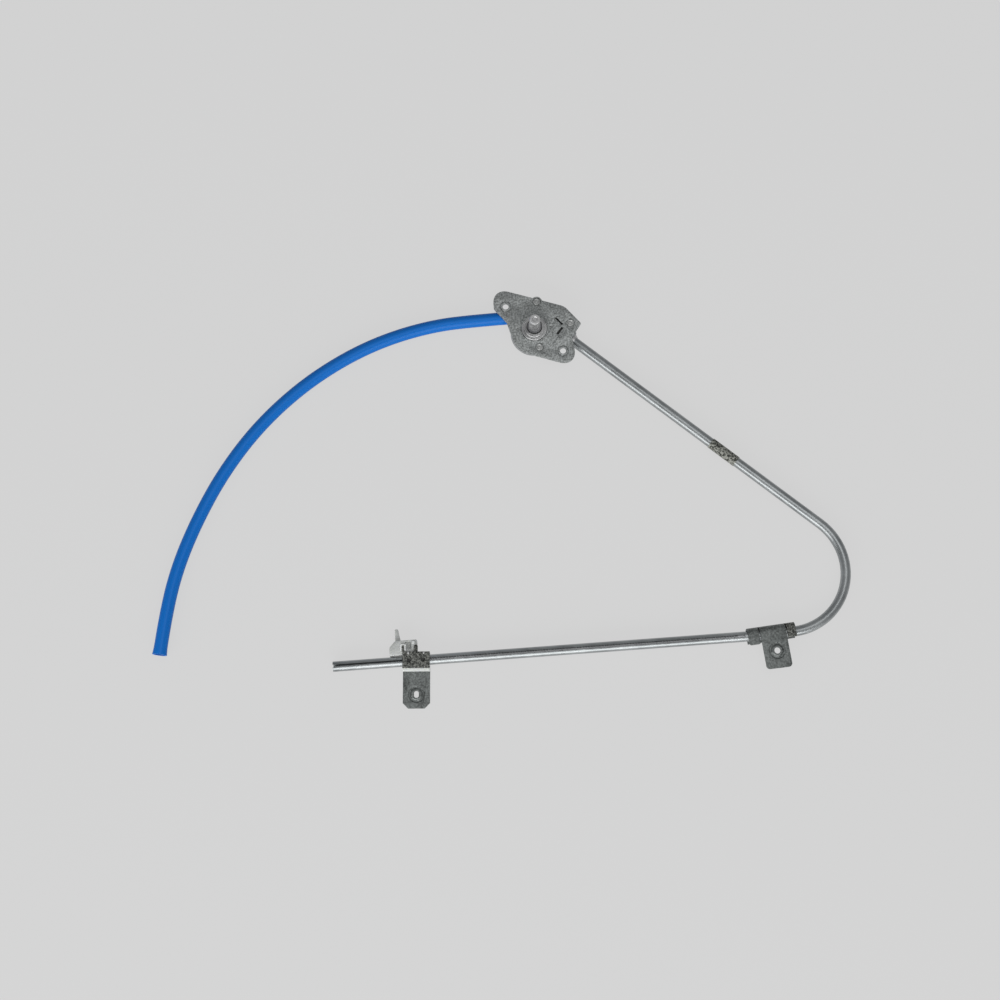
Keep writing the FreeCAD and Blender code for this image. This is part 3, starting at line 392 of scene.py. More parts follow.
@dataclass(frozen=True)
class MouldedPlastic:
    """Moulded or extruded plastic with a soft sheen and, for nylon, some light through it."""

    name: str
    colour: Colour
    shade: Colour
    roughness: float = 0.35
    glow: float = 0.0
    streak: Point = (1.0, 1.0, 1.0)
    source: str = "Object"
    scale: float = 60.0
    specular: float = 0.5

    def material(self) -> bpy.types.Material:
        """Build the finish.

        Returns:
            The new material.
        """
        tree = ShaderTree(self.name)
        place = tree.place(scale=self.streak, source=self.source)
        cloud = tree.noise(place, self.scale, 4.0, 0.6)
        fine = tree.noise(tree.place(), 1500.0, 2.0, 0.5)
        colour = tree.ramp(cloud, [(0.3, self.shade), (0.62, self.colour)])
        return tree.surface(Base_Color=colour, Subsurface_Weight=self.glow,
                            Subsurface_Radius=(0.004, 0.004, 0.0035), Subsurface_Scale=1.0,
                            Roughness=tree.span(cloud, self.roughness * 0.8, self.roughness * 1.25),
                            Specular_IOR_Level=self.specular,
                            Normal=tree.bump(fine, 0.00004, 0.5))


@dataclass(frozen=True)
class CastMetal:
    """Raw die casting with flow marks and a grained skin."""

    name: str
    colour: Colour
    shade: Colour

    def material(self) -> bpy.types.Material:
        """Build the finish.

        Returns:
            The new material.
        """
        tree = ShaderTree(self.name)
        flow = tree.noise(tree.place(scale=(1.0, 2.4, 1.0)), 70.0, 5.0, 0.6)
        skin = tree.fed("TexVoronoi", "Distance", Vector=tree.place(), Scale=1500.0)
        colour = tree.ramp(flow, [(0.34, self.shade), (0.64, self.colour)])
        return tree.surface(Base_Color=colour, Metallic=0.85,
                            Roughness=tree.span(flow, 0.4, 0.6, 0.3, 0.7),
                            Normal=tree.bump(skin, 0.00006, 0.6))


@dataclass(frozen=True)
class SoftRubber:
    """Matt rubber, plain or blotched with worn and dusty patches."""

    name: str
    colour: Colour
    bloom: Colour
    blotch_scale: float = 400.0
    contrast: float = 0.12

    def material(self) -> bpy.types.Material:
        """Build the finish.

        Returns:
            The new material.
        """
        tree = ShaderTree(self.name)
        blotch = tree.noise(tree.place(), self.blotch_scale, 3.0, 0.6)
        stops = [(0.5 - self.contrast, self.colour), (0.5 + self.contrast, self.bloom)]
        return tree.surface(Base_Color=tree.ramp(blotch, stops),
                            Roughness=tree.span(blotch, 0.6, 0.85),
                            Normal=tree.bump(blotch, 0.0002))


FINISHES = {
    Slot.ZINC: MottledMetal("zinc_plating", (0.5, 0.52, 0.515), (0.3, 0.315, 0.31),
                            (0.1, 0.105, 0.1), metallic=0.6, grain_share=0.65),
    Slot.DARK: MottledMetal("dark_phosphate", (0.24, 0.257, 0.251), (0.132, 0.142, 0.138),
                            (0.04, 0.043, 0.041), metallic=0.6),
    Slot.TUBE: DrawnMetal("drawn_tube", (0.42, 0.44, 0.445), (0.26, 0.275, 0.28), 0.85, 0.26, 0.42),
    Slot.BRIGHT: TurnedMetal("turned_steel", (0.62, 0.62, 0.62), (0.48, 0.48, 0.48)),
    Slot.CAST: CastMetal("die_casting", (0.46, 0.47, 0.48), (0.33, 0.34, 0.35)),
    Slot.SPRING: DrawnMetal("spring_wire", (0.3, 0.3, 0.31), (0.2, 0.2, 0.21)),
    Slot.CABLE: DrawnMetal("greased_cable", (0.75, 0.76, 0.77), (0.5, 0.51, 0.52), 0.3),
    Slot.BRONZE: DrawnMetal("sintered_bronze", (0.5, 0.36, 0.18), (0.34, 0.23, 0.11)),
    Slot.NYLON: MouldedPlastic("natural_nylon", (0.82, 0.84, 0.82), (0.7, 0.72, 0.7), 0.4, 0.3),
    Slot.RUBBER: SoftRubber("black_rubber", (0.02, 0.02, 0.02), (0.045, 0.045, 0.045)),
    Slot.SLEEVE: SoftRubber("mottled_sleeve", (0.025, 0.027, 0.022), (0.34, 0.345, 0.31), 420.0,
                            0.07),
    Slot.BLUE: MouldedPlastic("blue_sheath", (0.002, 0.17, 0.62), (0.001, 0.13, 0.52), 0.4, 0.0,
                              (40.0, 1.0, 1.0), "UV", 3.0, specular=0.25),
    Look.WORN: MottledMetal("worn_plating", (0.6, 0.61, 0.6), (0.4, 0.41, 0.4), (0.2, 0.2, 0.2),
                            metallic=0.6),
    # Darker copy of the natural nylon: painted shade on the shoe's wing and fin.
    Look.CLOUDY: MouldedPlastic("cloudy_nylon", (0.6, 0.612, 0.598), (0.49, 0.505, 0.49), 0.4, 0.3),
    Look.SPECKLED: MottledMetal("speckled_phosphate", (0.3, 0.305, 0.28), (0.07, 0.073, 0.067),
                                (0.01, 0.011, 0.009), metallic=0.5, grain_scale=620.0,
                                grain_share=0.85),
    # Near-black finish: painted shade in the carrier's pits and the housing's pocket, not oil.
    Look.OILED: MottledMetal("oiled_head", (0.07, 0.07, 0.068), (0.035, 0.035, 0.034),
                             (0.012, 0.012, 0.012), metallic=0.4),
}


class Workshop:
    """Keeps one material of each finish and hands finished pieces to the model."""

    def __init__(self) -> None:
        """Make every finish once."""
        self.materials = {key: finish.material() for key, finish in FINISHES.items()}

    def dress(self, piece: bpy.types.Object, finish: Slot | Look) -> None:
        """Give a new piece or a model node its finish."""
        piece.data.materials.clear()
        piece.data.materials.append(self.materials[finish])

    def deliver(self, piece: bpy.types.Object, slot: Slot, body: Body, *nodes: str,
                look: Look | None = None) -> None:
        """Finish a new piece: material, body and the nodes that it stands for.

        Args:
            piece: New piece, in place.
            slot: Material slot of the record.
            body: Body that it rides on.
            *nodes: Model nodes that it replaces.
            look: The piece's own look, where it differs from the slot's.
        """
        self.dress(piece, look or slot)
        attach(piece, body.value)
        if nodes:
            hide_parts(*nodes)
        LOG.info("piece %s rides on %s", piece.name, body.value)


# Modelling helpers


def deselect() -> None:
    """Deselect every object."""
    for item in bpy.context.view_layer.objects:
        item.select_set(False)


def take(piece: bpy.types.Object) -> None:
    """Make one object the selected and active one.

    Args:
        piece: Object to work on.
    """
    deselect()
    piece.select_set(True)
    bpy.context.view_layer.objects.active = piece


class Workpiece:
    """A mesh in the making, shaped with Blender's own modelling operators."""

    def __init__(self, name: str) -> None:
        """Take over the primitive that was just added.

        Args:
            name: Name of the piece.
        """
        self.piece = bpy.context.object
        self.piece.name = name
        self.piece.data.name = name

    @classmethod
    def outline(cls, name: str, corners: Sequence[Corner], level: float = 0.0) -> "Workpiece":
        """Add a flat face with rounded corners.

        Args:
            name: Name of the piece.
            corners: Corners in millimetres, in order.
            level: Height of the face in millimetres.

        Returns:
            The new workpiece.
        """
        deselect()
        bpy.ops.mesh.primitive_circle_add(vertices=len(corners), radius=MM, fill_type="NGON")
        made = cls(name)
        for vertex, corner in zip(made.piece.data.vertices, corners):
            vertex.co = Vector((*corner[:2], level)) * MM
        for index, corner in enumerate(corners):
            if sum(corner[2:]) > 0:
                made.round_corner(corners, index, level)
        with made.editing("FACE", "SELECT") as mesh:
            mesh.faces.ensure_lookup_table()
            if mesh.faces[0].normal.z < 0:
                bpy.ops.mesh.flip_normals()
        return made

    @classmethod
    def cylinder(cls, name: str, radius: float, low: float, high: float, sides: int = 64,
                 centre: Place = (0.0, 0.0)) -> "Workpiece":
        """Add an upright cylinder.

        Args:
            name: Name of the piece.
            radius: Radius in millimetres.
            low: Lower level in millimetres.
            high: Upper level in millimetres.
            sides: Faces round it.
            centre: Axis in millimetres.

        Returns:
            The new workpiece.
        """
        deselect()
        bpy.ops.mesh.primitive_cylinder_add(
            vertices=sides, radius=radius * MM, depth=(high - low) * MM,
            location=(centre[0] * MM, centre[1] * MM, (low + high) / 2 * MM))
        made = cls(name)
        take(made.piece)
        bpy.ops.object.transform_apply(location=True, rotation=True, scale=True)
        return made

    @classmethod
    def turned(cls, name: str, profile: Sequence[Corner], steps: int = 96) -> "Workpiece":
        """Spin a closed profile of radius and height about the upright axis.

        Args:
            name: Name of the piece.
            profile: Corners as radius and height, in millimetres.
            steps: Faces round the piece.

        Returns:
            The new workpiece.
        """
        made = cls.outline(name, profile)
        made.move(Matrix.Rotation(math.pi / 2, 4, "X"))
        with made.editing("EDGE", "SELECT"):
            bpy.ops.mesh.delete(type="ONLY_FACE")
            bpy.ops.mesh.select_all(action="SELECT")
            bpy.ops.mesh.spin(steps=steps, angle=FULL_TURN, center=(0.0, 0.0, 0.0),
                              axis=(0.0, 0.0, 1.0))
            bpy.ops.mesh.select_all(action="SELECT")
            bpy.ops.mesh.remove_doubles(threshold=0.002 * MM)
        made.correct_normals()
        return made

    @classmethod
    def slab(cls, name: str, corners: Sequence[Corner], low: float, high: float) -> "Workpiece":
        """Add a flat plate between two levels.

        Args:
            name: Name of the piece.
            corners: Corners in millimetres, in order.
            low: Lower level in millimetres.
            high: Upper level in millimetres.

        Returns:
            The new workpiece.
        """
        made = cls.outline(name, corners, high)
        made.thicken(high - low)
        return made

    @contextmanager
    def editing(self, mode: str, action: str = "DESELECT") -> Iterator[bmesh.types.BMesh]:
        """Open the piece in edit mode, with nothing or everything selected.

        Args:
            mode: VERT, EDGE or FACE.
            action: DESELECT or SELECT.

        Yields:
            The edit mesh, for selecting by place.
        """
        take(self.piece)
        bpy.ops.object.mode_set(mode="EDIT")
        bpy.ops.mesh.select_mode(type=mode)
        bpy.ops.mesh.select_all(action=action)
        yield bmesh.from_edit_mesh(self.piece.data)
        bpy.ops.object.mode_set(mode="OBJECT")

    def correct_normals(self) -> None:
        """Turn every face outwards."""
        with self.editing("FACE", "SELECT"):
            bpy.ops.mesh.normals_make_consistent(inside=False)

    def round_corner(self, corners: Sequence[Corner], index: int, level: float) -> None:
        """Round one corner of a flat outline.

        Args:
            corners: All corners of the outline.
            index: Which corner.
            level: Height of the outline in millimetres.
        """
        before, here, after = (Vector(corners[near % len(corners)][:2])
                               for near in (index - 1, index, index + 1))
        trim = corners[index][2] / math.tan((before - here).angle(after - here) / 2)
        place = Vector((*here, level)) * MM
        with self.editing("VERT") as mesh:
            for vertex in mesh.verts:
                vertex.select = (vertex.co - place).length < 0.01 * MM
            bpy.ops.mesh.bevel(offset=trim * MM, offset_type="OFFSET", segments=10, profile=0.5,
                               affect="VERTICES", clamp_overlap=False)

    def split(self, point: Place, across: Place) -> None:
        """Divide the faces along an upright plane, so that a hole on it stays a clean notch.

        Args:
            point: Point on the plane in millimetres.
            across: Direction square to the plane.
        """
        with self.editing("FACE", "SELECT"):
            bpy.ops.mesh.bisect(plane_co=(point[0] * MM, point[1] * MM, 0.0),
                                plane_no=(*across, 0.0))

    def move(self, place: Matrix) -> None:
        """Turn and shift the mesh."""
        self.piece.data.transform(place)

    def modify(self, kind: str, **settings: object) -> None:
        """Add a modifier and apply it.

        Args:
            kind: Modifier type.
            **settings: Its properties.
        """
        take(self.piece)
        made = self.piece.modifiers.new(kind.title(), kind)
        for key, value in settings.items():
            setattr(made, key, value)
        bpy.ops.object.modifier_apply(modifier=made.name)

    def thicken(self, thick: float) -> None:
        """Give a flat sheet its thickness in millimetres, against its normal."""
        self.modify("SOLIDIFY", thickness=thick * MM, offset=-1.0, use_even_offset=True)

    def cut(self, tool: "Workpiece", operation: str = "DIFFERENCE") -> None:
        """Cut with another solid or, with UNION, add it; it is used up."""
        self.modify("BOOLEAN", operation=operation, object=tool.piece, solver="EXACT")
        bpy.data.objects.remove(tool.piece)

    def drill(self, centre: Place, radius: float, low: float, high: float) -> None:
        """Cut a round hole between two levels, in millimetres."""
        self.cut(Workpiece.cylinder("drill", radius, low, high, 40, centre))

    def soften(self, width: float, angle: float = 35.0, segments: int = 2) -> None:
        """Break the edges that are sharper than an angle in degrees, to a width in millimetres."""
        self.modify("BEVEL", width=width * MM, segments=segments, limit_method="ANGLE",
                    angle_limit=math.radians(angle), use_clamp_overlap=False)

    def smooth(self, angle: float = 32.0) -> bpy.types.Object:
        """Shade smoothly up to an edge angle, and give the finished object.

        Args:
            angle: Angle in degrees.

        Returns:
            The object.
        """
        take(self.piece)
        bpy.ops.object.shade_smooth_by_angle(angle=math.radians(angle))
        return self.piece

    def copy(self, name: str, shift: Point) -> "Workpiece":
        """Copy the piece with its own mesh.

        Args:
            name: Name of the copy.
            shift: Shift in millimetres.

        Returns:
            The copy.
        """
        take(self.piece)
        bpy.ops.object.duplicate(linked=False)
        made = Workpiece(name)
        made.move(Matrix.Translation(Vector(shift) * MM))
        return made

    def join(self, others: Iterable["Workpiece"]) -> None:
        """Join other pieces into this one.

        Args:
            others: Pieces that are used up.
        """
        take(self.piece)
        for other in others:
            other.piece.select_set(True)
        bpy.ops.object.join()


def own_frame(x: float, y: float, turn: float = 0.0) -> Matrix:
    """Give the frame at a place in millimetres that is turned by so many degrees."""
    return Matrix.Translation(Vector((x, y, 0.0)) * MM) @ Matrix.Rotation(math.radians(turn), 4, "Z")


def box_corners(left: float, low: float, right: float, top: float,
                radius: float = 0.0) -> list[Corner]:
    """Give the corners of a rectangle, in millimetres."""
    return [(x, y, radius) for x, y in ((left, low), (right, low), (right, top), (left, top))]


def along_tube() -> Matrix:
    """Give the frame that lays an upright piece along X at the level of the tube's axis."""
    return Matrix.Translation((0.0, 0.0, AXIS * MM)) @ Matrix.Rotation(math.pi / 2, 4, "Y")


def strip(name: str, start: Place, end: Place, wide: tuple[float, float], low: float,
          high: float) -> Workpiece:
    """Make a straight strip with slightly rounded corners.

    Args:
        name: Name of the piece.
        start: One end in millimetres.
        end: The other end in millimetres.
        wide: Width at the start and at the end, in millimetres.
        low: Lower level in millimetres.
        high: Upper level in millimetres.

    Returns:
        The strip.
    """
    first, last = Vector(start), Vector(end)
    side = Vector((first.y - last.y, last.x - first.x)).normalized() / 2
    places = (first + side * wide[0], first - side * wide[0], last - side * wide[1],
              last + side * wide[1])
    return Workpiece.slab(name, [(place.x, place.y, 0.3) for place in places], low, high)


# Sub-assemblies


@dataclass
class MountingPlate:
    """Pressed plate with collared mounting holes, slots, a crease and the three rivets."""

    workshop: Workshop
    thick: float = 2.0
    hole_circle: float = 83.1
    hole_angle: float = 43.4
    hole: float = 3.45
    collar: float = 5.4
    drum_hole: float = 14.5
    drum_lip: float = 16.3
    rise: float = 0.5
    ear: float = 6.3
    rivet_groove: float = 4.4
    dial_hole: float = 1.0
    corners: tuple[Corner, ...] = (
        (-43.7, 52.8, 13.5), (36.0, 24.4, 14.0), (53.4, 2.6, 2.5), (41.6, -13.2, 2.5),
        (46.0, -49.3, 14.0), (-21.4, -24.7, 24.0), (-30.5, 9.5, 2.5), (-43.7, 26.5, 5.0))
    slots: tuple[tuple[Place, Place, float], ...] = (
        ((25.0, 11.5), (32.2, 2.8), 2.0), ((31.9, -0.5), (25.3, -8.3), 2.6))

    def mount_holes(self) -> list[Place]:
        """Work out the centres of the two mounting holes.

        Returns:
            The centres in millimetres.
        """
        turn = math.radians(self.hole_angle)
        x, y = math.cos(turn) * self.hole_circle / 2, math.sin(turn) * self.hole_circle / 2
        return [(-x, y), (x, -y)]

    def build_plate(self) -> None:
        """Cut the sheet, raise its collars and pierce its holes and slots."""
        plate = Workpiece.slab("pressed_plate", self.corners, -self.thick, 0.0)
        turn = math.radians(self.hole_angle)
        for point, across in (((0.0, 0.0), (math.sin(turn), math.cos(turn))),
                              ((0.0, 0.9), (0.0, 1.0)), ((28.6, 0.0), (1.0, 0.0)),
                              ((4.65, 0.0), (1.0, 0.0))):
            plate.split(point, across)
        for centre in self.mount_holes():
            collar = Workpiece.cylinder("collar", self.collar, -1.0, self.rise, 48, centre)
            plate.cut(collar, "UNION")
        plate.cut(Workpiece.cylinder("drum_collar", self.drum_lip, -1.0, self.rise, 72), "UNION")
        plate.cut(Workpiece.cylinder("drum_bore", self.drum_hole, -3.0, 1.0, 72))
        for centre in self.mount_holes():
            plate.drill(centre, self.hole, -3.0, 1.0)
        for side in (-18.4, 18.4):
            plate.drill((side, 0.9), self.dial_hole, -3.0, 1.0)
        for start, end, wide in self.slots:
            plate.cut(strip("punch", start, end, (wide, wide), -3.0, 1.0))
        for centre in RIVETS:
            plate.cut(self.ring_cutter(centre, self.rivet_groove))
        for centre in self.mount_holes():
            plate.cut(self.ring_cutter(centre, self.collar + 0.5))
        plate.soften(0.3)
        ear = Workpiece.cylinder("ear", self.ear, 0.02 - self.thick, -0.02, 48, RIVETS[0])
        ear.cut(self.ring_cutter(RIVETS[0], self.rivet_groove))
        crease = strip("crease", (26.9, -10.4), (17.4, -23.4), (1.04, 2.6), -0.2, 0.45)
        crease.soften(0.4, 35.0, 3)
        plate.join([crease, ear])
        self.workshop.deliver(plate.smooth(), Slot.ZINC, Body.ROOT, "mounting_plate")

    @staticmethod
    def ring_cutter(centre: Place, radius: float) -> Workpiece:
        """Make the ring that presses the shallow groove round a rivet or collar.

        Args:
            centre: Axis in millimetres.
            radius: Middle radius in millimetres.

        Returns:
            The cutter.
        """
        ring = Workpiece.turned("ring_cutter", [
            (radius - 0.5, 0.9), (radius - 0.4, -0.7), (radius + 0.4, -0.7),
            (radius + 0.5, 0.9)], 48)
        ring.move(own_frame(*centre))
        return ring

    def build_rivets(self) -> None:
        """Turn one rivet with its dished head and copy it to its places."""
        profile = [(0.0, -16.4), (3.9, -16.4), (3.9, -15.6), (2.0, -15.6),
                   (2.0, 0.0), (3.9, 0.0), (3.8, 0.9, 0.4), (2.9, 1.3, 0.3),
                   (2.1, 0.7, 0.2), (1.3, 0.9, 0.2), (0.0, 1.0)]
        first = Workpiece.turned("plate_rivet_heads", profile, 40)
        copies = [first.copy("rivet", (x, y, 0.0)) for x, y in RIVETS[1:]]
        first.move(own_frame(*RIVETS[0]))
        first.join(copies)
        self.workshop.deliver(first.smooth(), Slot.ZINC, Body.ROOT, "plate_rivets", look=Look.WORN)

    def build(self) -> None:
        """Build the plate and its rivets."""
        self.build_plate()
        self.build_rivets()


@dataclass
class RearHousing:
    """Die-cast housing behind the plate: drum, two ducts, rivet bosses and their ribs."""

    workshop: Workshop
    top: float = -2.0
    back: float = -17.2
    radius: float = 26.5
    wall: float = 1.6
    chamber: float = 21.5
    pitch_radius: float = 18.62
    fall: float = 42.5
    lean: float = 0.5
    half: float = 8.2
    boss: float = 5.2
    pocket: float = -3.8
    pocket_left: float = 23.0
    pocket_right: float = 34.0
    pocket_low: float = -10.5
    pocket_high: float = 13.5
    sheath_duct: float = 27.0
    tube_duct: float = 40.0
    rib_start: float = 3.0
    rib_half: float = 4.4
    bush_hole: float = 7.0
    rivet_seat: float = 3.95

    def duct_frames(self) -> tuple[Matrix, Matrix]:
        """Work out the frames of the two cable lines, with X along each.

        Returns:
            The sheath's and the tube's frame.
        """
        down, flat = math.radians(self.fall), math.radians(self.lean)
        tube = own_frame(self.pitch_radius * math.sin(down), self.pitch_radius * math.cos(down),
                         -self.fall)
        sheath = own_frame(-self.pitch_radius * math.sin(flat), self.pitch_radius * math.cos(flat),
                           180.0 + self.lean)
        return sheath, tube

    def bore(self, housing: Workpiece, place: Matrix, radius: float, start: float,
             end: float) -> None:
        """Bore along a cable line.

        Args:
            housing: Piece that is bored.
            place: Frame of the line.
            radius: Radius in millimetres.
            start: Start along the line in millimetres.
            end: End along the line in millimetres.
        """
        drill = Workpiece.cylinder("line_bore", radius, start, end, 48)
        drill.move(place @ along_tube())
        housing.cut(drill)

    def build(self) -> None:
        """Cast the body, hollow it and bore its ducts.

        The parts' levels differ by hundredths of a millimetre, because flush faces don't unite.
        """
        housing = Workpiece.cylinder("cast_housing", self.radius, self.back, self.top, 96)
        housing.soften(0.9, 40.0, 3)
        sheath, tube = self.duct_frames()
        for place, long, inset in ((sheath, self.sheath_duct, 0.06), (tube, self.tube_duct, 0.11)):
            duct = Workpiece.slab("duct", box_corners(0.0, -self.half, long, self.half),
                                  self.back + inset, self.top - inset)
            duct.soften(1.2, 40.0, 3)
            duct.move(place)
            housing.cut(duct, "UNION")
        for number, (x, y) in enumerate(RIVETS):
            reach, inset = math.hypot(x, y), 0.17 + 0.05 * number
            rib = Workpiece.slab(
                "rib", box_corners(self.rib_start, -self.rib_half, reach, self.rib_half),
                self.back + inset, self.top - inset)
            rib.soften(0.7, 40.0, 3)
            rib.move(own_frame(0.0, 0.0, math.degrees(math.atan2(y, x))))
            housing.cut(rib, "UNION")
            boss = Workpiece.cylinder("boss", self.boss, self.back + 0.02, self.top - 0.02, 48, (x, y))
            boss.soften(0.7, 40.0, 3)
            housing.cut(boss, "UNION")
        housing.drill((0.0, 0.0), self.chamber, self.back + self.wall, 1.0)
        housing.drill((0.0, 0.0), self.bush_hole, self.back - 2.0, self.top)
        for centre in RIVETS:
            housing.drill(centre, self.rivet_seat, self.back - 1.0, self.back + self.wall)
        pocket = box_corners(self.pocket_left, self.pocket_low, self.pocket_right, self.pocket_high)
        housing.cut(Workpiece.slab("pocket", pocket, self.pocket, 1.0))
        for place, radius, start, end in (
                (sheath, 3.4, 0.0, 20.0), (sheath, 5.32, 14.0, 30.0), (tube, 3.4, 0.0, 25.0),
                (tube, 5.52, 22.0, 45.0), (tube, 6.62, 34.0, 45.0)):
            self.bore(housing, place, radius, start, end)
        self.workshop.deliver(housing.smooth(), Slot.CAST, Body.ROOT, "rear_housing")
        # The pocket's faces take the near-black finish: painted shade in the recess.
        housing.piece.data.materials.append(self.workshop.materials[Look.OILED])
        for face in housing.piece.data.polygons:
            x, y, z = face.center / MM
            face.material_index = int(self.pocket_left - 0.1 < x < self.pocket_right + 0.1
                                      and abs(y) < self.pocket_high + 0.1 and z > self.pocket - 0.1)


@dataclass
class CrankGearbox:
    """The turned pieces on the crank axis: the stepped drum and the splined spindle."""

    workshop: Workshop
    spline: float = 6.25
    spline_depth: float = 0.5
    spline_start: float = 9.3
    spline_end: float = 28.6
    chamfer: float = 1.4
    tip_rim: float = 1.9
    teeth: int = 30

    def build_drum(self) -> None:
        """Spin the stepped drum with its rounded shoulders."""
        profile = [
            (20.4, -3.3), (20.4, -2.0), (14.3, -2.0), (14.3, 1.7, 0.8),
            (13.1, 1.7, 0.2), (12.7, 0.9, 0.2), (11.9, 0.9, 0.2),
            (11.5, 1.6, 0.2), (11.5, 3.6, 0.8), (10.4, 3.6, 0.2),
            (10.0, 2.8, 0.2), (9.2, 2.8, 0.2), (8.8, 3.4, 0.2),
            (8.8, 5.6, 0.5), (7.4, 5.6), (7.4, 0.2), (11.4, 0.2), (12.6, -0.6), (12.6, -6.4),
            (14.3, -6.4), (14.3, -3.3)]
        drum = Workpiece.turned("stepped_drum", profile)
        self.workshop.deliver(drum.smooth(), Slot.BRIGHT, Body.ROOT, "brake_drum")

    def build_spindle(self) -> None:
        """Turn the spindle's shaft, then pull every second edge in for the splines."""
        body = [(0.0, -17.0), (4.5, -17.0, 0.3), (4.5, -13.0), (6.0, -13.0),
                (6.0, -1.1), (10.0, -1.1), (10.0, 0.0), (6.3, 0.0),
                (6.3, 7.2), (5.8, 7.2), (5.8, 8.2), (6.2, 8.2, 0.1),
                (6.2, 9.5), (0.0, 9.5)]
        shaft = Workpiece.turned("crank_spindle", body, 60)
        head = Workpiece.cylinder("spline", self.spline, self.spline_start, self.spline_end,
                                  self.teeth * 2)
        with head.editing("FACE") as mesh:
            for face in mesh.faces:
                face.select = face.normal.z > 0.9
            mesh.select_flush_mode()
            self.raise_faces(self.chamfer)
            bpy.ops.transform.resize(value=(0.8, 0.8, 1.0))
            bpy.ops.mesh.inset(thickness=self.tip_rim * MM)
            self.raise_faces(-0.5)
            bpy.ops.transform.resize(value=(0.82, 0.82, 1.0))
            self.raise_faces(-2.5)
        self.pull_in_valleys(head)
        shaft.join([head])
        self.workshop.deliver(shaft.smooth(28.0), Slot.BRIGHT, Body.CRANK, "spindle")

    @staticmethod
    def raise_faces(rise: float) -> None:
        """Extrude the selected faces upwards by so many millimetres."""
        bpy.ops.mesh.extrude_region_move(TRANSFORM_OT_translate={"value": (0.0, 0.0, rise * MM)})

    def pull_in_valleys(self, head: Workpiece) -> None:
        """Move every second upright edge of the spline inwards.

        Args:
            head: Splined part of the spindle.
        """
        step = math.pi / self.teeth
        with head.editing("VERT") as mesh:
            for vertex in mesh.verts:
                turn = math.atan2(vertex.co.y, vertex.co.x) / step
                outer = math.hypot(vertex.co.x, vertex.co.y) > (self.spline - 0.1) * MM
                vertex.select = outer and round(turn) % 2 == 1
            mesh.select_flush_mode()
            keep = (self.spline - self.spline_depth) / self.spline
            bpy.ops.transform.resize(value=(keep, keep, 1.0), center_override=(0.0, 0.0, 0.0))

    def build(self) -> None:
        """Build the turned pieces."""
        self.build_drum()
        self.build_spindle()


@dataclass(frozen=True)
class PressedEye:
    """Raised boss round a hole, with a ring groove outside it."""

    x: float
    y: float
    level: float
    boss: float = 5.9
    groove: float = 7.7
    rise: float = 0.95
    deep: float = 0.8

    def groove_cutter(self) -> Workpiece:
        """Make the ring that presses the groove.

        Returns:
            The cutter.
        """
        half = 1.3
        ring = Workpiece.turned("groove_cutter", [
            (self.groove - half, self.level + 1.0), (self.groove - half, self.level),
            (self.groove - 0.9, self.level - self.deep),
            (self.groove + 0.6, self.level - self.deep),
            (self.groove + half, self.level), (self.groove + half, self.level + 1.0)], 48)
        ring.move(own_frame(self.x, self.y))
        return ring

    def raised_boss(self) -> Workpiece:
        """Make the boss, solid, so that the hole is cut through it after.

        Returns:
            The boss.
        """
        top = self.level + self.rise
        boss = Workpiece.turned("boss", [
            (0.0, self.level - 0.3), (self.boss + 0.4, self.level - 0.3),
            (self.boss, self.level + 0.3), (self.boss - 0.8, top, 0.4),
            (0.0, top)], 48)
        boss.move(own_frame(self.x, self.y))
        return boss


@dataclass
class TubeBracket:
    """Fixed bracket: a sheet rolled over the tube's far side, slit into a lap, a tab and a cuff."""

    workshop: Workshop
    place: Matrix = field(default_factory=lambda: own_frame(202.0, -363.9, 4.1))
    long: float = 52.0
    shift: float = 1.2
    inner: float = 5.55
    sheet: float = 1.6
    back_edge: float = -8.0
    slits: tuple[float, float] = (12.0, 41.2)
    slit: float = 1.2
    slit_deep: float = 6.5
    eye: PressedEye = PressedEye(27.9, -20.4, -2.85)
    hole: float = 3.4
    lap: tuple[Corner, ...] = ((0.0, -10.9, 2.0), (12.0, -10.9, 2.0), (12.0, -1.0), (0.0, -1.0))
    tab: tuple[Corner, ...] = ((13.2, -38.9, 4.0), (41.2, -39.5, 4.0), (41.2, -1.0), (13.2, -1.0))

    def build(self) -> None:
        """Roll the sheet, add the lap and the tab, and slit it."""
        outer = self.inner + self.sheet
        front, back = AXIS + outer, AXIS - outer
        near = 0.01
        rolled = Workpiece.slab("rolled_bracket", [
            (self.back_edge, front), (self.shift + outer, front, outer - near),
            (self.shift + outer, back, outer - near), (self.back_edge, back),
            (self.back_edge, back + self.sheet),
            (self.shift + self.inner, back + self.sheet, self.inner - near),
            (self.shift + self.inner, front - self.sheet, self.inner - near),
            (self.back_edge, front - self.sheet)], 0.0, self.long)
        rolled.move(CROSSWAYS)
        rolled.cut(Workpiece.slab("lap", self.lap, front - self.sheet, front), "UNION")
        leaf = Workpiece.slab("tab", self.tab, front - self.sheet, front)
        leaf.split((self.eye.x, self.eye.y), (1.0, 0.0))
        leaf.cut(self.eye.groove_cutter())
        leaf.cut(self.eye.raised_boss(), "UNION")
        leaf.drill((self.eye.x, self.eye.y), self.hole, front - 4.0, front + 4.0)
        rolled.cut(leaf, "UNION")
        for start in self.slits:
            opening = box_corners(start, -12.0, start + self.slit, self.shift + outer + 1.0)
            rolled.cut(Workpiece.slab("slit", opening, front - self.slit_deep, front + 1.0))
        rolled.soften(0.22)
        bare = [face.index for face in rolled.piece.data.polygons
                if face.center.x > (self.slits[1] + self.slit / 2) * MM]
        rolled.move(self.place)
        self.workshop.deliver(rolled.smooth(), Slot.DARK, Body.ROOT, "tube_bracket")
        rolled.piece.data.materials.append(self.workshop.materials[Look.SPECKLED])
        for index in bare:
            rolled.piece.data.polygons[index].material_index = 1


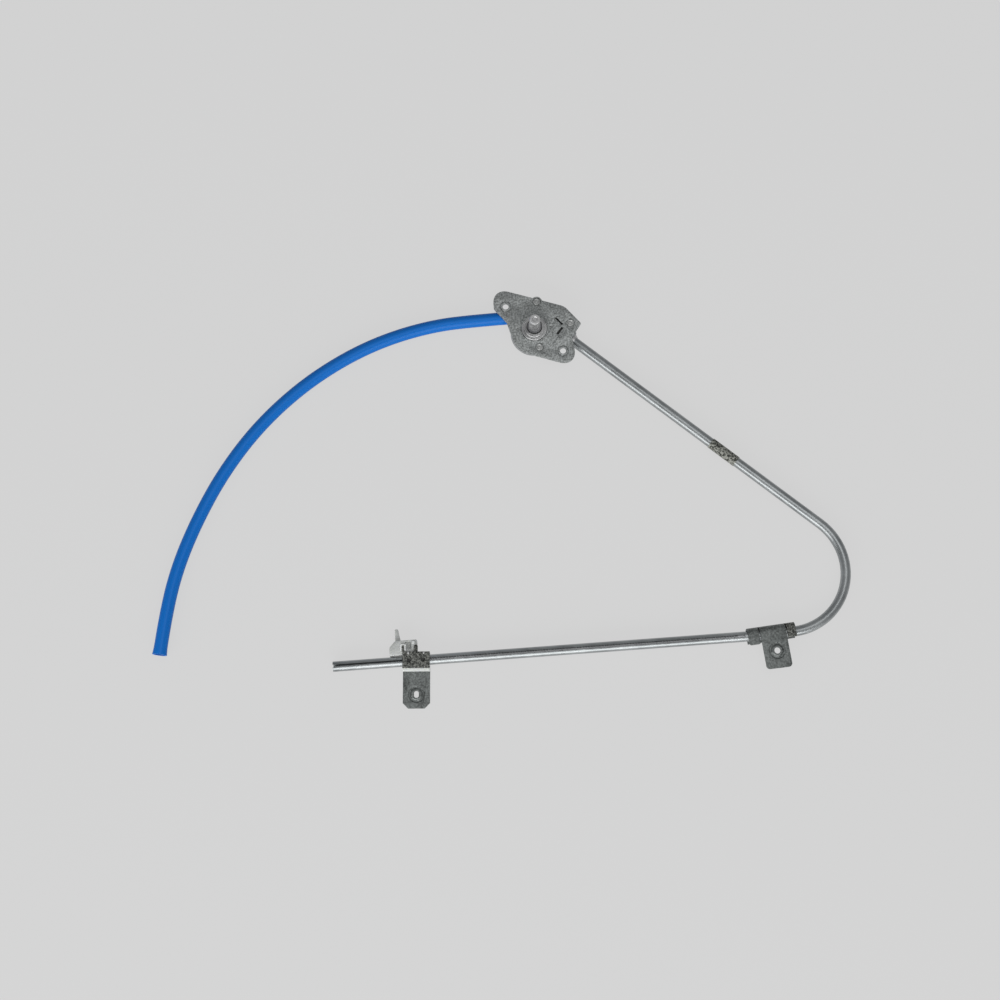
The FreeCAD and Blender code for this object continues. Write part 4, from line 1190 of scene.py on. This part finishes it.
@dataclass
class GlassCarrier:
    """Cap, lift plate, shoe and rivets that run along the slotted tube."""

    workshop: Workshop
    place: Matrix = field(default_factory=lambda: own_frame(-155.5, -363.9))
    skew: Matrix = field(default_factory=lambda: own_frame(0.0, 0.0, -3.8))
    half: float = 14.6
    above: float = 8.9
    cap_top: float = -2.6
    sheet: float = 1.6
    shoe_low: float = -16.1
    bore: float = 5.6
    lips: float = 3.9
    pit_reach: float = 7.7
    shank: float = 0.9
    side_rivets: tuple[Place, Place] = ((-8.3, 7.5), (8.3, 7.5))
    eye: PressedEye = PressedEye(0.0, -35.5, -16.1)

    def build_cap(self) -> None:
        """Cut the cap with its two prongs and sink the two pits on the tube's line."""
        under = self.cap_top - self.sheet
        edge = [(-14.6, -8.8), (14.6, -8.8), (14.6, 8.9), (1.85, 8.9), (1.85, 16.2, 2.0),
                (-2.45, 16.2, 2.0), (-2.45, 8.9), (-12.8, 8.9), (-12.8, 15.3, 0.6),
                (-15.4, 15.3, 0.6), (-15.4, 8.9), (-14.6, 8.9)]
        cap = Workpiece.slab("carrier_cap_sheet", edge,
                             under, self.cap_top)
        cap.move(self.skew)
        cap.split((0.0, 0.0), (0.0, 1.0))
        for x in (-self.pit_reach, self.pit_reach):
            pit = Workpiece.turned("pit", [
                (0.0, under - 1.0), (1.8, under - 1.0), (1.8, under + 0.3),
                (2.5, self.cap_top + 0.02), (2.5, self.cap_top + 1.0),
                (0.0, self.cap_top + 1.0)], 36)
            pit.move(own_frame(x, 0.0))
            cap.cut(pit)
        cap.soften(0.25)
        cap.move(self.place)
        self.workshop.deliver(cap.smooth(), Slot.DARK, Body.CARRIER, "carrier_cap",
                              look=Look.SPECKLED)

    def build_rivets(self) -> None:
        """Turn the two sunk rivets and the two small domed ones."""
        under = self.cap_top - self.sheet
        sunk = Workpiece.turned("sunk_rivets", [
            (0.0, AXIS), (self.shank, AXIS), (self.shank, under), (1.75, under),
            (1.75, under + 0.35, 0.2), (1.0, under + 0.2, 0.2), (0.0, under + 0.1)],
            28)
        twin = sunk.copy("twin", (2 * self.pit_reach, 0.0, 0.0))
        sunk.join([twin])
        sunk.move(self.place @ own_frame(-self.pit_reach, 0.0))
        # The sunk heads take the near-black finish: painted shade in the pits.
        self.workshop.deliver(sunk.smooth(), Slot.BRIGHT, Body.CARRIER, "carrier_rivets",
                              look=Look.OILED)
        domed = Workpiece.turned("domed_rivets", [
            (0.0, self.cap_top - 3.0), (self.shank, self.cap_top - 3.0),
            (self.shank, self.cap_top), (1.25, self.cap_top), (1.2, self.cap_top + 0.35, 0.2),
            (0.6, self.cap_top + 0.6, 0.3), (0.0, self.cap_top + 0.62)], 28)
        (x, y), (second_x, second_y) = self.side_rivets
        twin = domed.copy("twin", (second_x - x, second_y - y, 0.0))
        domed.join([twin])
        domed.move(self.place @ self.skew @ own_frame(x, y))
        self.workshop.deliver(domed.smooth(), Slot.BRIGHT, Body.CARRIER)

    def build_plate(self) -> None:
        """Cut the lift plate, press its eye and punch its slot."""
        edge = [(-14.6, 8.9), (-14.6, -44.8, 0.6), (-8.8, -50.6, 0.6), (8.8, -50.6, 0.6),
                (14.6, -44.8, 0.6), (14.6, 8.9)]
        top = self.shoe_low
        plate = Workpiece.slab("lift_plate", edge,
                               top - self.sheet, top)
        plate.split((self.eye.x, self.eye.y), (1.0, 0.0))
        plate.cut(self.eye.groove_cutter())
        plate.cut(self.eye.raised_boss(), "UNION")
        slot = box_corners(-2.6, -39.2, 2.6, -31.8, 2.4)
        plate.cut(Workpiece.slab("lift_slot", slot, top - 4.0, top + 4.0))
        plate.soften(0.22)
        plate.move(self.place @ self.skew)
        self.workshop.deliver(plate.smooth(), Slot.DARK, Body.CARRIER, "carrier_plate")

    def build_shoe(self) -> None:
        """Mould the shoe: block, wing, fin, rim and pocket, then bore it for the tube."""
        low, top = self.shoe_low, self.cap_top - self.sheet
        shoe = Workpiece.slab("nylon_shoe", box_corners(-self.half, -11.0, self.half, self.above),
                              low, top)
        shoe.move(self.skew)
        wing = [(-28.0, 6.4, 0.8), (2.0, 6.4), (2.0, 22.0, 0.8), (-21.3, 22.0), (-28.0, 14.8, 0.8)]
        arm = Workpiece.slab("shoe_wing", wing, low, top)
        fin = [(-21.3, 21.0), (-15.4, 21.0), (-17.7, 35.0, 0.8), (-21.1, 35.0, 0.8)]
        arm.cut(Workpiece.slab("fin", fin,
                               AXIS - 2.5, AXIS + 2.5), "UNION")
        arm.cut(Workpiece.slab("pocket", box_corners(-10.9, 12.4, -4.1, 20.4, 0.6), top - 4.0,
                               top + 1.0))
        arm.soften(0.35)
        arm.join([self.rim(top), self.stud(top)])
        arm.move(self.place)
        # The wing, fin and pocket take the darker nylon as painted shade; only the faces above the
        # shoe's top keep the plain nylon.
        self.workshop.deliver(arm.smooth(), Slot.NYLON, Body.CARRIER, look=Look.CLOUDY)
        arm.piece.data.materials.append(self.workshop.materials[Slot.NYLON])
        for face in arm.piece.data.polygons:
            face.material_index = int(face.center.z > (top + 0.1) * MM)
        gap = box_corners(-29.0, -self.lips, 30.0, self.lips)
        shoe.cut(Workpiece.slab("gap", gap, AXIS + 0.3, top + 1.0))
        bore = Workpiece.cylinder("bore", self.bore, -40.0, 40.0, 64)
        bore.move(along_tube())
        shoe.cut(bore)
        shoe.soften(0.35)
        shoe.move(self.place)
        self.workshop.deliver(shoe.smooth(), Slot.NYLON, Body.CARRIER, "slide_shoe")

    def rim(self, top: float) -> Workpiece:
        """Mould the rim round the first prong.

        Args:
            top: Level of the shoe's top in millimetres.

        Returns:
            The rim.
        """
        inner, outer, tip, end = (-15.55, -12.65), (-17.05, -11.15), 15.45, 16.95
        edge = [(outer[0], 9.9), (inner[0], 9.9), (inner[0], tip), (inner[1], tip), (inner[1], 9.9),
                (outer[1], 9.9), (outer[1], end, 0.6), (outer[0], end, 0.6)]
        rim = Workpiece.slab("rim", edge, top - 0.5, top + 1.5)
        rim.soften(0.3)
        rim.move(self.skew)
        return rim

    def stud(self, top: float) -> Workpiece:
        """Mould the small stud in the wing's corner.

        Args:
            top: Level of the shoe's top in millimetres.

        Returns:
            The stud.
        """
        stud = Workpiece.turned("stud", [
            (0.0, top - 0.5), (1.9, top - 0.5), (1.7, top + 0.9, 0.4),
            (0.0, top + 1.1)], 28)
        stud.move(own_frame(-1.9, 19.0))
        return stud

    def build(self) -> None:
        """Build the carrier's pieces."""
        self.build_cap()
        self.build_rivets()
        self.build_plate()
        self.build_shoe()


@dataclass
class RackCable:
    """Helical rack cable in the slotted run, which the carrier draws towards the bend; here it is
    built at rest on the fixed body.
    """

    workshop: Workshop
    start: float = -142.5
    anchor: float = 191.0
    drop: float = -363.9
    pitch: float = 3.0
    core: float = 1.8
    wire: float = 0.75
    outer: float = 3.0
    travel: float = 330.0
    steps: int = 14

    def build(self) -> None:
        """Wind the coil round its core and set it in the slotted run on the fixed body."""
        long = self.anchor - self.start
        deselect()
        bpy.ops.mesh.primitive_circle_add(vertices=7, radius=self.wire * MM, fill_type="NOTHING")
        coil = Workpiece("rack_cable_in_guide")
        coil.move(Matrix.Translation((0.0, (self.outer - self.wire) * MM, 0.0)))
        coil.modify("SCREW", axis="X", screw_offset=self.pitch * MM, iterations=int(long / self.pitch),
                    steps=self.steps, render_steps=self.steps, use_smooth_shade=True)
        core = Workpiece.cylinder("core", self.core, 0.0, long, 20)
        core.move(Matrix.Rotation(math.pi / 2, 4, "Y"))
        coil.join([core])
        place = Vector((self.start, self.drop, AXIS)) * MM
        coil.move(Matrix.Translation(place))
        coil.correct_normals()
        self.workshop.deliver(coil.smooth(60.0), Slot.CABLE, Body.ROOT, "cable_guide")
        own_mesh(coil.piece)


@dataclass
class Sheath:
    """Plain blue sheath that takes the spare cable, open and slightly belled at its far end."""

    workshop: Workshop
    outer: float = 7.2
    wall: float = 1.6
    sides: int = 36
    bell: float = 1.1
    bell_reach: float = 0.012
    route: tuple[Point, ...] = (
        (-0.02886, 0.01837, -0.010), (-0.06286, 0.01807, -0.010), (-0.113, 0.0155, -0.010),
        (-0.168, 0.003, -0.010), (-0.2185, -0.018, -0.010), (-0.269, -0.049, -0.010),
        (-0.317, -0.091, -0.010), (-0.357, -0.141, -0.010), (-0.388, -0.195, -0.010),
        (-0.410, -0.2455, -0.010), (-0.423, -0.2945, -0.010), (-0.4305, -0.3375, -0.010))

    def centre_line(self) -> list[Vector]:
        """Read the points of the route's smooth curve.

        Returns:
            Points from the gearbox to the open end.
        """
        data = bpy.data.curves.new("sheath_route", "CURVE")
        data.dimensions = "3D"
        data.resolution_u = 12
        spline = data.splines.new("NURBS")
        spline.points.add(len(self.route) - 1)
        for point, place in zip(spline.points, self.route):
            point.co = (*place, 1.0)
        spline.order_u = 3
        spline.use_endpoint_u = True
        holder = bpy.data.objects.new("sheath_route", data)
        mesh = bpy.data.meshes.new_from_object(holder)
        line = [vertex.co.copy() for vertex in mesh.vertices]
        bpy.data.objects.remove(holder)
        bpy.data.meshes.remove(mesh)
        return line

    def build(self) -> None:
        """Loft the outer skin along the route and give it its wall."""
        line = self.centre_line()
        length = sum((b - a).length for a, b in zip(line, line[1:]))
        mesh = bmesh.new()
        pattern = mesh.loops.layers.uv.new("UVMap")
        rings, places, along = [], [], 0.0
        for index, point in enumerate(line):
            ahead = line[min(index + 1, len(line) - 1)] - line[max(index - 1, 0)]
            side = Vector((-ahead.y, ahead.x, 0.0)).normalized()
            along += (point - line[index - 1]).length if index else 0.0
            flare = max(0.0, 1.0 - (length - along) / self.bell_reach)
            wide = self.outer * MM * (1.0 + (self.bell - 1.0) * flare ** 2)
            rings.append([mesh.verts.new(point + side * wide * math.cos(turn)
                                         + Vector((0.0, 0.0, self.outer * MM * math.sin(turn))))
                          for turn in (FULL_TURN * k / self.sides for k in range(self.sides))])
            places.append(along)
        for index, (ring, following) in enumerate(zip(rings, rings[1:])):
            for k in range(self.sides):
                after = (k + 1) % self.sides
                face = mesh.faces.new((ring[k], following[k], following[after], ring[after]))
                spots = ((k, index), (k, index + 1), (k + 1, index + 1), (k + 1, index))
                for loop, (around, row) in zip(face.loops, spots):
                    loop[pattern].uv = (around / self.sides, places[row])
        data = bpy.data.meshes.new("blue_sheath")
        mesh.to_mesh(data)
        mesh.free()
        deselect()
        bpy.ops.mesh.primitive_plane_add(size=MM)
        sheath = Workpiece("blue_sheath")
        sheath.piece.data = data
        sheath.correct_normals()
        sheath.thicken(self.wall)
        self.workshop.deliver(sheath.smooth(50.0), Slot.BLUE, Body.ROOT, "sheath_hose")
        LOG.info("sheath length %.4f m", length)


@dataclass
class Studio:
    """Pale floor, soft lamps and the camera."""

    floor_level: float = CAD_BOX[0].z
    floor_colour: Colour = (0.5, 0.5, 0.5)
    paper_glow: Colour = (0.705, 0.705, 0.705)
    floor_evenness: float = 0.85
    air: Colour = (0.37, 0.375, 0.38)
    air_strength: float = 0.85
    target: Point = (-0.0529, -0.1936, -0.008)
    back: Point = (-0.0177, -0.2413, 0.9703)
    distance: float = 1.7
    lens: float = 55.6

    def build_floor(self) -> None:
        """Lay a wide plain floor, evened out for the camera so that only a faint shadow shows."""
        deselect()
        bpy.ops.mesh.primitive_plane_add(size=12.0, location=(0.0, 0.0, self.floor_level - 0.00005))
        floor = bpy.context.object
        floor.name = "floor"
        tree = ShaderTree("floor_paper")
        path = tree.node("LightPath")
        seen = path.outputs["Is Camera Ray"]
        for ray in ("Is Glossy Ray", "Is Transmission Ray"):
            seen = tree.maths("MAXIMUM", seen, path.outputs[ray])
        even = tree.maths("MULTIPLY", seen, self.floor_evenness)
        glow = tree.node("Emission")
        tree.feed(glow, "Color", self.paper_glow)
        tree.surface(Base_Color=self.floor_colour, Roughness=0.95, Specular_IOR_Level=0.1)
        paper = tree.output.inputs[0].links[0].from_socket
        mixed = tree.node("MixShader")
        tree.tree.links.new(even, mixed.inputs[0])
        tree.tree.links.new(paper, mixed.inputs[1])
        tree.tree.links.new(glow.outputs[0], mixed.inputs[2])
        tree.tree.links.new(mixed.outputs[0], tree.output.inputs[0])
        floor.data.materials.append(tree.material)

    def build_lamp(self, name: str, place: Point, size: tuple[float, float], power: float) -> None:
        """Hang a soft lamp that points at the part.

        Args:
            name: Name of the lamp.
            place: Where it hangs.
            size: Width and height in metres.
            power: Watts.
        """
        data = bpy.data.lights.new(name, "AREA")
        data.shape = "RECTANGLE"
        data.size, data.size_y = size
        data.energy = power
        lamp = bpy.data.objects.new(name, data)
        bpy.context.scene.collection.objects.link(lamp)
        lamp.location = place
        aim = Vector(self.target) - Vector(place)
        lamp.rotation_mode = "QUATERNION"
        lamp.rotation_quaternion = aim.to_track_quat("-Z", "Y")

    def build_world(self) -> None:
        """Give an even grey surround."""
        world = bpy.data.worlds.new("studio_air")
        world.use_nodes = True
        inputs = world.node_tree.nodes["Background"].inputs
        inputs["Color"].default_value = (*self.air, 1.0)
        inputs["Strength"].default_value = self.air_strength
        bpy.context.scene.world = world

    def build_camera(self) -> None:
        """Set the camera at the photograph's angle."""
        data = bpy.data.cameras.new("camera")
        data.lens = self.lens
        data.sensor_width = 36.0
        camera = bpy.data.objects.new("camera", data)
        bpy.context.scene.collection.objects.link(camera)
        back = Vector(self.back).normalized()
        camera.location = Vector(self.target) + back * self.distance
        camera.rotation_mode = "QUATERNION"
        camera.rotation_quaternion = (-back).to_track_quat("-Z", "Y")
        bpy.context.scene.camera = camera

    def build(self) -> None:
        """Build the whole studio."""
        self.build_floor()
        self.build_lamp("key_lamp", (-0.7, -2.3, 0.95), (4.6, 1.5), 66.0)
        self.build_lamp("top_lamp", (0.3, -0.2, 2.4), (1.2, 1.2), 7.0)
        self.build_world()
        self.build_camera()
        bpy.context.scene.view_settings.view_transform = "Standard"


def dress_nodes(workshop: Workshop) -> None:
    """Give every model node the finish of its slot, for those that stay in view."""
    for part in frame["record"]["subparts"]:
        workshop.dress(frame["nodes"][part["node"]], Slot(part["material_slot"]))


def main() -> None:
    """Build the pieces in order, then the studio."""
    logging.basicConfig(level=logging.INFO, format="%(name)s: %(message)s")
    workshop = Workshop()
    deselect()
    dress_nodes(workshop)
    for assembly in (MountingPlate(workshop), RearHousing(workshop), CrankGearbox(workshop),
                     TubeBracket(workshop), GlassCarrier(workshop), RackCable(workshop),
                     Sheath(workshop), Studio()):
        assembly.build()
        LOG.info("built %s", type(assembly).__name__)


if __name__ == "__main__":
    main()
